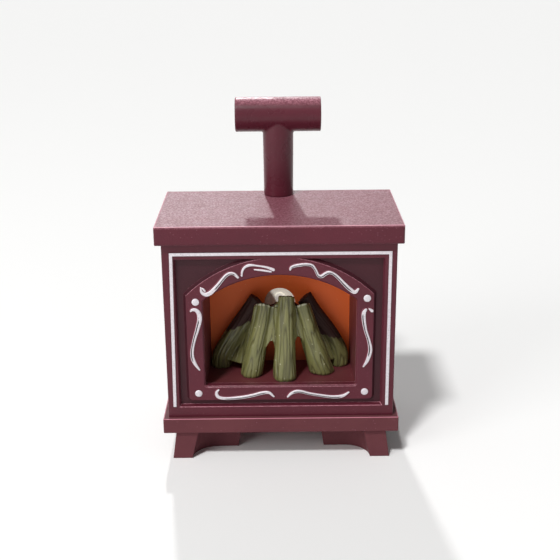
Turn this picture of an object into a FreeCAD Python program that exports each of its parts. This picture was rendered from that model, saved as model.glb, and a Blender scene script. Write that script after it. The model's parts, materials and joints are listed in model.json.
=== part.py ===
import FreeCAD, Part
import math
import os

from FreeCAD import Vector

# A toy wood stove for a doll's house, in millimetres, with Z up and its front towards -Y.
# It is modelled from the front plane of its top plate, and each piece is then moved back by half
# the whole depth, so that the origin is the middle of its footprint, on the ground.

# Casing, outside
plate_width = 75.0
plate_depth = 42.7
plate_height = 5.9
plate_overhang = 1.8
body_height = 57.6
plinth_side_inset = 0.1
plinth_setback = 0.1
plinth_height = 4.9
foot_height = 9.5
soft_edge = 0.35

# Walls and clearances shared by the whole casing
shell_wall = 2.0
skin = 1.8
part_gap = 0.15
turn_gap = 0.05
thread_gap = 0.05
shank_gap = 0.2
cut_overrun = 1.0

# Top plate, inside
plate_rim = 2.8
peg_radius = 1.4
peg_side_inset = 17.5
peg_inset = 10.0
peg_proud = 1.6

# Chimney
stem_back_inset = 4.6
stem_top_radius = 5.0
stem_foot_radius = 4.8
pipe_rise = 26.5
pipe_radius = 5.55
pipe_length = 27.6
pipe_bore_radius = 4.4
pipe_bore_depth = 10.5
tee_blend = 0.7
pipe_end_round = 0.3
pivot_radius = 2.0
pivot_groove_radius = 1.6
pivot_tail = 1.6
clip_radius = 2.7
clip_thickness = 0.5
clip_pocket_radius = 3.1

# Front moulding
fascia_thickness = 2.6
recess_depth = 1.4
recess_side_rim = 4.1
recess_foot_rim = 4.0
recess_head_rim = 5.35
recess_draft = 0.5
frame_side_gap = 2.75
frame_foot_gap = 1.8
frame_crown_overlap = 0.85
frame_rise = 12.0
frame_corner = 1.1
frame_bevel = 0.8
frame_border = 5.15
frame_border_crown = 5.65
opening_sill = 4.8
opening_rise = 8.35
opening_corner = 0.6
opening_bevel = 0.4
rim_lip_depth = 2.0
rim_lip_wall = 1.2
boss_radius = 2.4
boss_corner_inset = 0.9
fascia_boss_length = 4.0
tab_thickness = 2.0

# Silver relief on the front
relief = 0.25
line_width = 0.95
line_edge_inset = 1.65
line_head_inset = 2.75
line_foot_inset = 3.65
line_left_lean = 0.75
stud_radius = 1.15
stud_inset = 2.65
stud_low = 2.4
stud_drop = 1.7
scroll_width = 1.0
print_shift_x = 0.3
print_shift_z = -0.15

# Firebox
liner_wall = 1.2
liner_side_gap = 0.3
liner_side_draft = 1.0
liner_floor_drop = 1.0
liner_head_gap = 0.75
liner_head_draft = 0.8
liner_rib_side_inset = 5.0
liner_rib_inset = 2.0
panel_thickness = 1.2
panel_overlap = 1.6
lamp_lift = 4.9
lamp_hole_radius = 5.1

# Logs: each foot is two shares, across and behind the front moulding, on the firebox floor, and
# each top is three, with its height last. They are shares of the opening's half width, of the
# firebox's depth and of its height. The radii are shares of the room for logs, which is the
# firebox's depth or a share of the opening's half width, whichever is less.
log_room_share = 0.823
log_front_foot_shares = (0.063, 0.256)
log_front_top_shares = (0.093, 0.431, 0.719)
log_left_foot_shares = (-0.397, 0.431)
log_left_top_shares = (-0.207, 0.523, 0.624)
log_right_foot_shares = (0.578, 0.538)
log_right_top_shares = (0.300, 0.533, 0.626)
log_far_left_foot_shares = (-0.796, 0.800)
log_far_left_top_shares = (-0.330, 0.826, 0.619)
log_far_right_foot_shares = (0.820, 0.810)
log_far_right_top_shares = (0.343, 0.831, 0.628)
log_front_radius_share = 0.179
log_side_radius_share = 0.185
log_right_radius_share = 0.205
log_far_radius_share = 0.164
log_top_radius_share = 0.131
log_far_top_radius_share = 0.141
log_end_round_share = 0.026
log_web_half_share = 0.380
log_web_depth_shares = (0.554, 0.728)
log_web_height_shares = (0.317, 0.565)

# Lamp
reflector_radius = 5.4
reflector_rim = 0.9
reflector_wall = 0.7
reflector_length = 7.6
reflector_cup = 4.6
reflector_neck = 2.8
bulb_radius = 1.6
bulb_length = 5.4
ferrule_radius = 2.4
ferrule_length = 2.0
lug_length = 1.2
lug_width = 1.2
lug_thickness = 0.8

# Cells and their box
cell_radius = 5.25
nub_radius = 1.9
nub_length = 1.0
cell_edge = 0.5
cell_gap = 0.1
cell_spacing = 0.2
cell_front_gap = 0.4
cell_back_gap = 2.0
tray_side_gap = 2.5
box_wall = 0.9
box_floor_gap = 0.2
box_front_gap = 0.2
spring_room = 3.9
spring_radius = 2.8
spring_wire = 0.3
spring_turns = 3.5
spring_end_gap = 0.05
contact_thickness = 0.4
contact_half_width = 4.0
contact_reach = 4.4
tab_width = 3.0
tab_reach = 2.4
tab_height = 0.4
tab_offset = 1.65
ear_width = 5.4
ear_thickness = 2.0
ear_half_height = 2.5
ear_boss_radius = 2.2
ear_boss_length = 3.0
ear_screw_inset = 3.1
lid_boss_radius = 2.0
lid_boss_length = 3.5
lid_boss_rise = 2.4
lid_margin = 2.8

# Back cover, lid and switch
cover_thickness = 1.8
door_side_gap = 0.4
door_sill_drop = 0.3
door_gap = 0.3
hinge_pin_radius = 0.7
hinge_pin_length = 1.2
hinge_socket_depth = 1.4
back_boss_length = 7.1
counterbore = 0.9
switch_side_inset = 13.7
switch_drop = 13.0
switch_travel = 3.0
neck_half_width = 1.2
neck_half_height = 1.0
knob_half_width = 2.5
knob_half_height = 1.8
knob_proud = 1.1
knob_grooves = 3
knob_groove_depth = 0.35
knob_groove_width = 0.5
slider_half_width = 3.5
slider_half_height = 2.4
slider_thickness = 1.0
housing_depth = 5.0
housing_wall = 0.8
bridge_thickness = 0.3
bridge_half_width = 2.5
bridge_half_height = 1.5
pad_thickness = 0.4
pad_half_height = 1.0
pad_near = (-4.5, -0.1)
pad_far = (2.5, 4.7)
pin_radius = 0.5
pin_length = 2.6

# Plinth and feet
plinth_wall = 1.8
foot_setback = 0.9
foot_side_inset = 2.6
foot_splay = 1.5
foot_face = 6.2
foot_face_top = 7.2
scoop_reach = 20.8
scoop_side_reach = 15.4
scoop_back = 7.8
bracket_wall = 1.6
plinth_boss_inset = 15.0
plinth_boss_height = 5.0

# Screws
screw_radius = 1.0
screw_head_radius = 1.9
screw_head_height = 1.2
screw_point = 0.7
screw_slot_width = 0.45
screw_slot_depth = 0.6
fascia_screw_length = 4.8
back_screw_length = 6.2
box_screw_length = 4.4
base_screw_length = 7.6
lid_screw_length = 3.8

# Leads
lead_radius = 0.5
lead_bend_share = 0.45
lead_side_step = 1.6
lead_outer_step = 3.6
lead_straight = 5.0
lamp_lead_reach = 5.9

# Places worked out from the sizes above
half_width = plate_width / 2
body_half = half_width - plate_overhang
inner_half = body_half - shell_wall
front = plate_overhang
fascia_back = front + fascia_thickness
body_back = plate_depth - plate_overhang
plinth_top = foot_height + plinth_height
floor = plinth_top + shell_wall
body_top = plinth_top + body_height
ceiling = body_top - shell_wall
plate_top = body_top + plate_height
plate_underside = plate_top - skin
stem_y = plate_depth - stem_back_inset
pipe_z = plate_top + pipe_rise
cover_front = body_back - cover_thickness
frame_foot = plinth_top + recess_foot_rim + frame_foot_gap
frame_half = body_half - recess_side_rim - frame_side_gap
frame_height = body_height - recess_foot_rim - frame_foot_gap - recess_head_rim + frame_crown_overlap
frame_side = frame_height - frame_rise
stud_x = frame_half - stud_inset
stud_high = frame_side - stud_drop
opening_half = frame_half - frame_border
opening_foot = frame_foot + opening_sill
opening_side = frame_height - opening_sill - frame_border_crown - opening_rise
opening_crown = opening_foot + opening_side + opening_rise
liner_floor = opening_foot - liner_floor_drop
liner_front_half = opening_half + liner_side_gap
liner_back_half = liner_front_half - liner_side_draft
liner_front_head = opening_crown + liner_head_gap
liner_back_head = liner_front_head - liner_head_draft
boss_x = inner_half - boss_radius - boss_corner_inset
boss_low = floor + boss_radius + boss_corner_inset / 2
boss_high = ceiling - boss_radius - boss_corner_inset / 2
tab_front = fascia_back + fascia_boss_length
pilot_radius = screw_radius + thread_gap
passing_radius = screw_radius + shank_gap
plinth_boss_places = (plinth_boss_inset, plate_depth - plinth_boss_inset)
whole_depth = max(plate_depth, stem_y + pipe_radius)

box_front = cover_front - cell_back_gap - 2 * cell_radius - cell_front_gap - box_wall
panel_back = box_front - box_front_gap
panel_front = panel_back - panel_thickness
liner_depth = panel_front - fascia_back
liner_height = opening_crown - liner_floor
log_room = min(liner_depth, log_room_share * opening_half)
box_low = floor + box_floor_gap
cell_low_z = box_low + box_wall + cell_gap + cell_radius
cell_high_z = cell_low_z + 2 * cell_radius + cell_spacing
cavity_top = cell_high_z + cell_radius + cell_gap
box_top = cavity_top + box_wall
box_half = boss_x - boss_radius - tray_side_gap
cavity_half = box_half - box_wall
contact_half = cavity_half - contact_thickness
cell_length = 2 * contact_half - nub_length - spring_room
lamp_z = box_top + lamp_lift
cell_y = box_front + box_wall + cell_front_gap + cell_radius
tab_y = cell_y - tab_offset
ear_x = box_half + ear_screw_inset
ear_z = cell_high_z
ear_back = cover_front - ear_boss_length
lid_boss_z = box_top + lid_boss_rise
door_half_width = cavity_half + door_side_gap
door_bottom = box_low + box_wall - door_sill_drop
door_top = lid_boss_z + lid_margin
lid_bottom = door_bottom + door_gap
lid_top = door_top - door_gap
lid_half = door_half_width - door_gap
hinge_y = cover_front + cover_thickness / 2
hinge_z = lid_bottom + cover_thickness / 2
lid_boss_front = cover_front - lid_boss_length
reflector_front = panel_back + turn_gap
reflector_back = reflector_front + reflector_length
ferrule_front = reflector_back + part_gap
ferrule_back = ferrule_front + ferrule_length
lug_y = ferrule_front + ferrule_length / 2
switch_x = inner_half - switch_side_inset
switch_z = ceiling - switch_drop
switch_off_x = switch_x - switch_travel / 2
slider_back = cover_front - part_gap
slider_front = slider_back - slider_thickness
housing_half_width = slider_half_width + switch_travel / 2 + part_gap + housing_wall
housing_half_height = slider_half_height + part_gap + housing_wall
housing_front = cover_front - housing_depth
pad_front = housing_front + housing_wall
pin_tip = pad_front - pin_length


def box(x0, x1, y0, y1, z0, z1):
    """A block between two values on each axis."""
    return Part.makeBox(x1 - x0, y1 - y0, z1 - z0, Vector(x0, y0, z0))


def rod(radius, start, end):
    """A round bar between two points."""
    axis = end - start
    return Part.makeCylinder(radius, axis.Length, start, axis)


def spin(profile, x, z):
    """A solid of revolution about the line through (x, z) along Y. The profile lists (radius, y)."""
    points = [Vector(x + radius, y, z) for radius, y in profile]
    face = Part.Face(Part.makePolygon(points + points[:1]))
    return face.revolve(Vector(x, 0, z), Vector(0, 1, 0), 360)


def joined(shapes):
    """One solid from pieces that touch or cross."""
    return shapes[0].multiFuse(shapes[1:]).removeSplitter()


def mirrored(shape, normal):
    """The shape's mirror image in the casing's middle plane with that normal."""
    middle = Vector(0, plate_depth / 2, 0)
    return shape.mirror(middle, normal)


def corners():
    """The four corners of the casing's inside, where screws go."""
    return [(side * boss_x, z) for side in (-1, 1) for z in (boss_low, boss_high)]


def rounded(shape, radius, wanted):
    """The shape with a fillet on each edge that the test wants."""
    edges = [edge for edge in shape.Edges if wanted(edge.BoundBox)]
    return shape.makeFillet(radius, edges)


def upright(bounds):
    """Whether an edge runs straight up."""
    return bounds.XLength < turn_gap and bounds.YLength < turn_gap


def level_at(z):
    """A test for edges that lie at one height."""
    return lambda bounds: bounds.ZLength < turn_gap and abs(bounds.ZMin - z) < turn_gap


def arch_wire(half, foot, side, rise, corner, grow, y):
    """An arched outline in the plane y: rounded bottom corners, straight sides and one arc on top.
    grow moves all of it outward, and the arc keeps its centre."""
    radius = (half ** 2 + rise ** 2) / (2 * rise)
    centre = foot + side + rise - radius
    half, foot, radius, corner = half + grow, foot - grow, radius + grow, corner + grow
    spring = centre + math.sqrt(radius ** 2 - half ** 2)
    inset = corner * (1 - math.sqrt(1 / 2))

    def at(x, z):
        return Vector(x, y, z)

    return Part.Wire([
        Part.makeLine(at(corner - half, foot), at(half - corner, foot)),
        Part.Arc(at(half - corner, foot), at(half - inset, foot + inset), at(half, foot + corner)).toShape(),
        Part.makeLine(at(half, foot + corner), at(half, spring)),
        Part.Arc(at(half, spring), at(0, centre + radius), at(-half, spring)).toShape(),
        Part.makeLine(at(-half, spring), at(-half, foot + corner)),
        Part.Arc(at(-half, foot + corner), at(inset - half, foot + inset), at(corner - half, foot)).toShape(),
    ])


def frame_wire(grow, y):
    """The arched frame's outline."""
    return arch_wire(frame_half, frame_foot, frame_side, frame_rise, frame_corner, grow, y)


def opening_wire(grow, y):
    """The arched opening's outline."""
    return arch_wire(opening_half, opening_foot, opening_side, opening_rise, opening_corner, grow, y)


def box_wire(half, low, high, y):
    """A rectangle in the plane y."""
    points = [(-half, low), (half, low), (half, high), (-half, high), (-half, low)]
    return Part.makePolygon([Vector(x, y, z) for x, z in points])


def loft(*wires):
    """A solid between outlines, with straight sides."""
    return Part.makeLoft(list(wires), True, True)


def screw(head_seat, direction, length):
    """A cross-head screw: the seat is where the underside of its head lies."""
    head = Part.makeCylinder(screw_head_radius, screw_head_height, Vector(0, 0, -screw_head_height))
    head = rounded(head, screw_slot_width, level_at(-screw_head_height))
    shank = Part.makeCylinder(screw_radius, length - screw_point)
    point = Part.makeCone(screw_radius, screw_radius / 4, screw_point, Vector(0, 0, length - screw_point))
    arm = screw_head_radius * 2 / 3
    half = screw_slot_width / 2
    slots = [
        box(-arm, arm, -half, half, -screw_head_height - cut_overrun, screw_slot_depth - screw_head_height),
        box(-half, half, -arm, arm, -screw_head_height - cut_overrun, screw_slot_depth - screw_head_height),
    ]
    body = joined([head, shank, point]).cut(slots)
    body.Placement = FreeCAD.Placement(head_seat, FreeCAD.Rotation(Vector(0, 0, 1), direction))
    return body


def top_plate():
    """The overhanging top, hollow from below, with four pegs for the casing's top wall."""
    plate = box(-half_width, half_width, 0, plate_depth, body_top, plate_top)
    plate = rounded(plate, soft_edge, lambda b: upright(b) or level_at(plate_top)(b))
    hollow = box(plate_rim - half_width, half_width - plate_rim, plate_rim, plate_depth - plate_rim,
                 body_top - cut_overrun, plate_underside)
    pocket = rod(clip_pocket_radius, Vector(0, stem_y, body_top - cut_overrun),
                 Vector(0, stem_y, plate_underside))
    bore = rod(pivot_radius + turn_gap, Vector(0, stem_y, body_top),
               Vector(0, stem_y, plate_top + cut_overrun))
    plate = plate.cut([hollow, pocket, bore])
    pegs = [
        rod(peg_radius, Vector(x, y, ceiling - peg_proud), Vector(x, y, plate_underside))
        for x in (peg_side_inset - half_width, half_width - peg_side_inset)
        for y in (peg_inset, plate_depth - peg_inset)
    ]
    return joined([plate] + pegs)


def chimney():
    """Stem and cross pipe in one moulding, with open pipe ends and a peg that turns in the top plate."""
    foot = plate_top + turn_gap
    stem = Part.makeCone(stem_foot_radius, stem_top_radius, pipe_z - foot, Vector(0, stem_y, foot))
    pipe = rod(pipe_radius, Vector(-pipe_length / 2, stem_y, pipe_z), Vector(pipe_length / 2, stem_y, pipe_z))
    tee = stem.fuse(pipe)
    saddle = [e for e in tee.Edges if e.BoundBox.ZLength > tee_blend and e.BoundBox.XLength < pipe_length / 2
              and e.BoundBox.ZMax < pipe_z and e.BoundBox.YLength > pipe_radius]
    tee = tee.makeFillet(tee_blend, saddle)
    tee = rounded(tee, pipe_end_round, lambda b: b.XLength < turn_gap and b.ZLength > pipe_radius)
    bores = [
        rod(pipe_bore_radius, Vector(side * (pipe_length / 2 - pipe_bore_depth), stem_y, pipe_z),
            Vector(side * (pipe_length / 2 + cut_overrun), stem_y, pipe_z))
        for side in (-1, 1)
    ]
    groove_top = plate_underside - turn_gap
    groove_foot = groove_top - clip_thickness - turn_gap
    pivot = [
        rod(pivot_radius, Vector(0, stem_y, groove_top), Vector(0, stem_y, foot)),
        rod(pivot_groove_radius, Vector(0, stem_y, groove_foot), Vector(0, stem_y, groove_top)),
        rod(pivot_radius, Vector(0, stem_y, groove_foot - pivot_tail), Vector(0, stem_y, groove_foot)),
    ]
    return joined([tee.cut(bores)] + pivot)


def chimney_clip():
    """A slotted steel washer in the peg's groove, under the top plate's skin."""
    top = plate_underside - turn_gap
    ring = rod(clip_radius, Vector(0, stem_y, top - clip_thickness), Vector(0, stem_y, top))
    hole = rod(pivot_groove_radius + turn_gap, Vector(0, stem_y, top - clip_thickness - cut_overrun),
               Vector(0, stem_y, top + cut_overrun))
    mouth_half = pivot_groove_radius * 3 / 4
    mouth = box(-mouth_half, mouth_half, stem_y - clip_radius - cut_overrun, stem_y,
                top - clip_thickness - cut_overrun, top + cut_overrun)
    return ring.cut([hole, mouth])


def body_shell():
    """The casing's sides, top and bottom in one sleeve, with tabs, bosses and holes for what it holds."""
    sleeve = box(-body_half, body_half, fascia_back, body_back, plinth_top, body_top)
    inside = box(-inner_half, inner_half, fascia_back - cut_overrun, body_back + cut_overrun, floor, ceiling)
    sleeve = sleeve.cut(inside)
    added, holes = [], []
    for x, z in corners():
        side = math.copysign(1, x)
        wall = floor if z == boss_low else ceiling
        low, high = sorted((wall, z + math.copysign(boss_radius, z - wall)))
        left, right = sorted((x - side * boss_radius, side * inner_half))
        added.append(box(left, right, tab_front, tab_front + tab_thickness, low, high))
        holes.append(rod(passing_radius, Vector(x, tab_front - cut_overrun, z),
                         Vector(x, tab_front + tab_thickness + cut_overrun, z)))
        left, right = sorted((x, side * inner_half))
        half_web = boss_radius / 3
        root = cover_front - back_boss_length
        added.append(rod(boss_radius, Vector(x, root, z), Vector(x, cover_front, z)))
        added.append(box(left, right, root, cover_front, z - half_web, z + half_web))
        holes.append(rod(pilot_radius, Vector(x, root + cut_overrun, z),
                         Vector(x, cover_front + cut_overrun, z)))
    for side in (-1, 1):
        for y in plinth_boss_places:
            x = side * boss_x
            added.append(rod(boss_radius, Vector(x, y, plinth_top), Vector(x, y, floor + plinth_boss_height)))
            holes.append(rod(pilot_radius, Vector(x, y, plinth_top - cut_overrun),
                             Vector(x, y, floor + plinth_boss_height - cut_overrun / 2)))
        for y in (peg_inset, plate_depth - peg_inset):
            x = side * (half_width - peg_side_inset)
            holes.append(rod(peg_radius + turn_gap, Vector(x, y, ceiling - cut_overrun),
                             Vector(x, y, body_top + cut_overrun)))
    return joined([sleeve] + added).cut(holes)


def front_fascia():
    """The whole front in one moulding: rim, sunk field, arched frame and arched opening."""
    plate = box(-body_half, body_half, front, fascia_back, plinth_top, body_top)
    plate = rounded(plate, soft_edge, lambda b: upright(b) and b.YMax < front + turn_gap)
    sunk = front + recess_depth
    proud = front - cut_overrun
    steepness = (recess_depth + cut_overrun) / recess_depth
    field_half = body_half - recess_side_rim
    field_low = plinth_top + recess_foot_rim
    field_high = body_top - recess_head_rim
    grow = recess_draft * steepness
    field = loft(box_wire(field_half + grow, field_low - grow, field_high + grow, proud),
                 box_wire(field_half, field_low, field_high, sunk))
    island = loft(frame_wire(frame_bevel * (1 - steepness), proud), frame_wire(frame_bevel, sunk))
    opening = loft(opening_wire(0, proud), opening_wire(0, fascia_back + cut_overrun))
    lip_steepness = (opening_bevel + cut_overrun) / opening_bevel
    lip = loft(opening_wire(opening_bevel * lip_steepness, proud), opening_wire(0, front + opening_bevel))
    plate = plate.cut(field.cut(island)).cut([opening, lip])
    lip_outer = inner_half - part_gap
    lip_inner = lip_outer - rim_lip_wall
    lip_low = floor + part_gap
    lip_high = ceiling - part_gap
    lip_back = fascia_back + rim_lip_depth
    ring = box(-lip_outer, lip_outer, fascia_back, lip_back, lip_low, lip_high)
    ring = ring.cut(box(-lip_inner, lip_inner, fascia_back - cut_overrun, lip_back + cut_overrun,
                        lip_low + rim_lip_wall, lip_high - rim_lip_wall))
    bosses = [rod(boss_radius, Vector(x, fascia_back, z), Vector(x, tab_front, z)) for x, z in corners()]
    pilots = [rod(pilot_radius, Vector(x, fascia_back - cut_overrun / 2, z),
                  Vector(x, tab_front + cut_overrun, z)) for x, z in corners()]
    return joined([plate, ring] + bosses).cut(pilots)


def silver_border():
    """The raised silver line along the head and down both sides of the front, in one strip. Its left
    side leans in towards the top, as it is printed on the toy."""
    outer = body_half - line_edge_inset
    inner = outer - line_width
    top = body_top - line_head_inset
    under = top - line_width
    foot = plinth_top + line_foot_inset
    outline = [(-outer, foot), (-outer + line_left_lean, top), (outer, top), (outer, foot), (inner, foot),
               (inner, under), (-inner + line_left_lean, under), (-inner, foot)]
    points = [Vector(x, front - relief, z) for x, z in outline]
    return Part.Face(Part.makePolygon(points + points[:1])).extrude(Vector(0, relief, 0))


def silver_studs():
    """Four round studs at the corners of the arched frame."""
    studs = []
    for side in (-1, 1):
        for rise in (stud_low, stud_high):
            x, z = side * stud_x + print_shift_x, frame_foot + rise
            stud = rod(stud_radius, Vector(x, front - relief, z), Vector(x, front, z))
            studs.append(rounded(stud, relief / 2, lambda b: b.YMax < front - relief / 2))
    return Part.makeCompound(studs)


# The scrolls' middle lines. Each place is a share of the arched frame's half width and of its
# height, from the middle of its foot, and the third value is a share of the scroll's width.
scroll_head_right_shares = [
    (0.10, 0.920, 0.5), (0.115, 0.938, 0.8), (0.18, 0.950, 1.0), (0.27, 0.956, 1.1),
    (0.33, 0.948, 1.0), (0.365, 0.92, 0.8), (0.395, 0.882, 0.9), (0.43, 0.874, 1.1),
    (0.47, 0.890, 1.1), (0.51, 0.900, 1.0), (0.555, 0.891, 0.9), (0.605, 0.865, 1.0),
    (0.67, 0.822, 1.1), (0.73, 0.785, 1.1), (0.785, 0.764, 1.1), (0.82, 0.786, 0.7),
]
scroll_head_left_shares = [
    (-0.845, 0.805, 0.5), (-0.838, 0.775, 0.9), (-0.80, 0.757, 1.2), (-0.755, 0.764, 1.3),
    (-0.715, 0.785, 1.1), (-0.66, 0.823, 1.0), (-0.615, 0.858, 1.0), (-0.57, 0.888, 1.0),
    (-0.53, 0.900, 1.1), (-0.49, 0.896, 1.1), (-0.45, 0.872, 0.7),
]
scroll_crown_left_shares = [
    (-0.41, 0.882, 0.6), (-0.405, 0.910, 0.8), (-0.385, 0.935, 0.9), (-0.35, 0.950, 1.0),
    (-0.30, 0.955, 1.0), (-0.24, 0.948, 0.9), (-0.15, 0.936, 1.0), (-0.075, 0.922, 1.1),
]
scroll_crown_second_shares = [(-0.275, 0.924, 0.6), (-0.19, 0.919, 0.8), (-0.11, 0.909, 0.8)]
scroll_side_left_shares = [
    (-0.962, 0.642, 0.7), (-0.945, 0.652, 0.9), (-0.905, 0.650, 1.2), (-0.875, 0.625, 1.4),
    (-0.87, 0.58, 1.4), (-0.90, 0.51, 1.2), (-0.935, 0.44, 1.1), (-0.96, 0.37, 1.1),
    (-0.962, 0.32, 1.1), (-0.94, 0.275, 1.1), (-0.89, 0.225, 0.7),
]
scroll_side_right_shares = [
    (0.905, 0.642, 0.9), (0.885, 0.62, 1.2), (0.885, 0.57, 1.2), (0.905, 0.50, 1.0),
    (0.94, 0.43, 1.0), (0.96, 0.37, 1.2), (0.955, 0.33, 1.2), (0.93, 0.28, 1.0), (0.89, 0.238, 0.7),
]
scroll_drop_right_shares = [(0.94, 0.648, 0.5), (0.958, 0.64, 0.9), (0.972, 0.632, 1.0)]
scroll_foot_left_shares = [
    (-0.69, 0.078, 0.6), (-0.712, 0.062, 0.9), (-0.71, 0.040, 1.0), (-0.68, 0.022, 1.0),
    (-0.60, 0.015, 0.9), (-0.46, 0.020, 1.0), (-0.33, 0.034, 1.0), (-0.22, 0.052, 1.0),
    (-0.14, 0.055, 1.0), (-0.085, 0.025, 0.7),
]
scroll_foot_right_shares = [
    (0.065, 0.022, 0.7), (0.10, 0.045, 0.9), (0.15, 0.060, 1.0), (0.21, 0.061, 1.0), (0.30, 0.046, 0.9),
    (0.42, 0.032, 0.9), (0.55, 0.020, 1.0), (0.66, 0.024, 1.0), (0.735, 0.052, 0.7),
]


def scroll(shares):
    """One raised stroke that swells and thins along its middle line, with round ends."""
    line = [Vector(x * frame_half + print_shift_x, 0, frame_foot + z * frame_height + print_shift_z)
            for x, z, _ in shares]
    halves = [width * scroll_width / 2 for _, _, width in shares]
    middle = Part.BSplineCurve()
    middle.interpolate(line)
    upper, lower, tangents = [], [], []
    for point, half in zip(line, halves):
        tangent = middle.tangent(middle.parameter(point))[0]
        across = Vector(-tangent.z, 0, tangent.x) * half
        tangents.append(tangent)
        upper.append(point + across)
        lower.append(point - across)
    sides = []
    for points in (upper, lower[::-1]):
        side = Part.BSplineCurve()
        side.interpolate(points)
        sides.append(side.toShape())
    tip = Part.Arc(upper[-1], line[-1] + tangents[-1] * halves[-1], lower[-1]).toShape()
    tail = Part.Arc(lower[0], line[0] - tangents[0] * halves[0], upper[0]).toShape()
    face = Part.Face(Part.Wire([sides[0], tip, sides[1], tail]))
    face.translate(Vector(0, front - relief, 0))
    return face.extrude(Vector(0, relief, 0))


def silver_scrolls():
    """All raised scrolls of the arched frame, as separate strokes."""
    strokes = [
        scroll_head_right_shares, scroll_head_left_shares,
        scroll_crown_left_shares, scroll_crown_second_shares,
        scroll_side_left_shares, scroll_side_right_shares, scroll_drop_right_shares,
        scroll_foot_left_shares, scroll_foot_right_shares,
    ]
    return Part.makeCompound([scroll(shares) for shares in strokes])


def firebox_liner():
    """Floor, sides and head behind the opening, drafted towards the back, with a seat for the panel."""
    def hull(grow):
        low = liner_floor - grow
        return loft(box_wire(liner_front_half + grow, low, liner_front_head + grow, fascia_back),
                    box_wire(liner_back_half + grow, low, liner_back_head + grow, panel_front))

    seat_half = liner_back_half + panel_overlap + part_gap
    seat_low = liner_floor - panel_overlap - part_gap
    seat_high = liner_back_head + panel_overlap + part_gap
    flange = box(-seat_half - liner_wall, seat_half + liner_wall, panel_front - liner_wall, panel_back,
                 seat_low - liner_wall, seat_high + liner_wall)
    seat = box(-seat_half, seat_half, panel_front, panel_back + cut_overrun, seat_low, seat_high)
    ribs = [
        box(middle - liner_wall / 2, middle + liner_wall / 2, fascia_back + liner_rib_inset,
            panel_front - liner_rib_inset, floor, liner_floor - liner_wall / 2)
        for middle in (liner_rib_side_inset - liner_back_half, liner_back_half - liner_rib_side_inset)
    ]
    return joined([hull(liner_wall), flange] + ribs).cut([hull(0), seat])


def glow_panel():
    """The orange panel in its seat, with the round lamp hole."""
    half = liner_back_half + panel_overlap
    panel = box(-half, half, panel_front, panel_back, liner_floor - panel_overlap,
                liner_back_head + panel_overlap)
    hole = rod(lamp_hole_radius, Vector(0, panel_front - cut_overrun, lamp_z),
               Vector(0, panel_back + cut_overrun, lamp_z))
    return panel.cut(hole)


def log(foot_shares, top_shares, foot_radius_share, top_radius_share):
    """One tapered log from the firebox floor to its top, with a softened top end."""
    foot_radius = foot_radius_share * log_room
    top_radius = top_radius_share * log_room
    start = Vector(foot_shares[0] * opening_half, fascia_back + foot_shares[1] * liner_depth, liner_floor)
    end = Vector(top_shares[0] * opening_half, fascia_back + top_shares[1] * liner_depth,
                 liner_floor + top_shares[2] * liner_height)
    axis = (end - start).normalize()
    below = start - axis * foot_radius
    length = (end - below).Length
    spread = foot_radius + (foot_radius - top_radius) * foot_radius / length
    stick = Part.makeCone(spread, top_radius, length, below, axis)
    rim = [e for e in stick.Edges if e.BoundBox.ZMin > start.z + length / 2 and len(e.Vertexes) == 1]
    stick = stick.makeFillet(log_end_round_share * log_room, rim)
    reach = half_width
    return stick.cut(box(-reach, reach, -reach, plate_depth + reach, liner_floor - reach, liner_floor))


def log_pile():
    """Five leaning logs and the web between them in one moulding."""
    logs = [
        log(log_front_foot_shares, log_front_top_shares, log_front_radius_share, log_top_radius_share),
        log(log_left_foot_shares, log_left_top_shares, log_side_radius_share, log_top_radius_share),
        log(log_right_foot_shares, log_right_top_shares, log_right_radius_share, log_top_radius_share),
        log(log_far_left_foot_shares, log_far_left_top_shares, log_far_radius_share,
            log_far_top_radius_share),
        log(log_far_right_foot_shares, log_far_right_top_shares, log_far_radius_share,
            log_far_top_radius_share),
    ]
    web_half = log_web_half_share * opening_half
    web_front, web_back = [fascia_back + share * liner_depth for share in log_web_depth_shares]
    low, high = [liner_floor + share * liner_height for share in log_web_height_shares]
    web = box(-web_half, web_half, web_front, web_back, low, high)
    tie = box(log_left_top_shares[0] * opening_half, log_right_top_shares[0] * opening_half,
              fascia_back + log_front_top_shares[1] * liner_depth, web_back, low, high)
    return joined(logs + [web, tie])


def lamp_reflector():
    """A white cup behind the panel's hole, on a straight neck that the bulb passes through."""
    neck_bore = bulb_radius + turn_gap
    cup_back = reflector_front + reflector_cup
    inner = reflector_radius - reflector_wall
    return spin([
        (inner, reflector_front),
        (reflector_radius, reflector_front),
        (reflector_radius, reflector_front + reflector_rim),
        (reflector_neck, cup_back),
        (reflector_neck, reflector_back),
        (neck_bore, reflector_back),
        (neck_bore, cup_back - reflector_wall),
        (inner, reflector_front + reflector_rim),
    ], 0, lamp_z)


def lamp_bulb():
    """A small glass bulb with a round tip."""
    tip = ferrule_front - bulb_length
    stem = rod(bulb_radius, Vector(0, tip + bulb_radius, lamp_z), Vector(0, ferrule_front, lamp_z))
    return joined([stem, Part.makeSphere(bulb_radius, Vector(0, tip + bulb_radius, lamp_z))])


def lamp_ferrule():
    """The bulb's metal cap, with a lug on each side for a lead."""
    cap = rod(ferrule_radius, Vector(0, ferrule_front, lamp_z), Vector(0, ferrule_back, lamp_z))
    reach = ferrule_radius + lug_length
    lugs = box(-reach, reach, lug_y - lug_thickness / 2, lug_y + lug_thickness / 2,
               lamp_z - lug_width / 2, lamp_z + lug_width / 2)
    return joined([cap, lugs])


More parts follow.
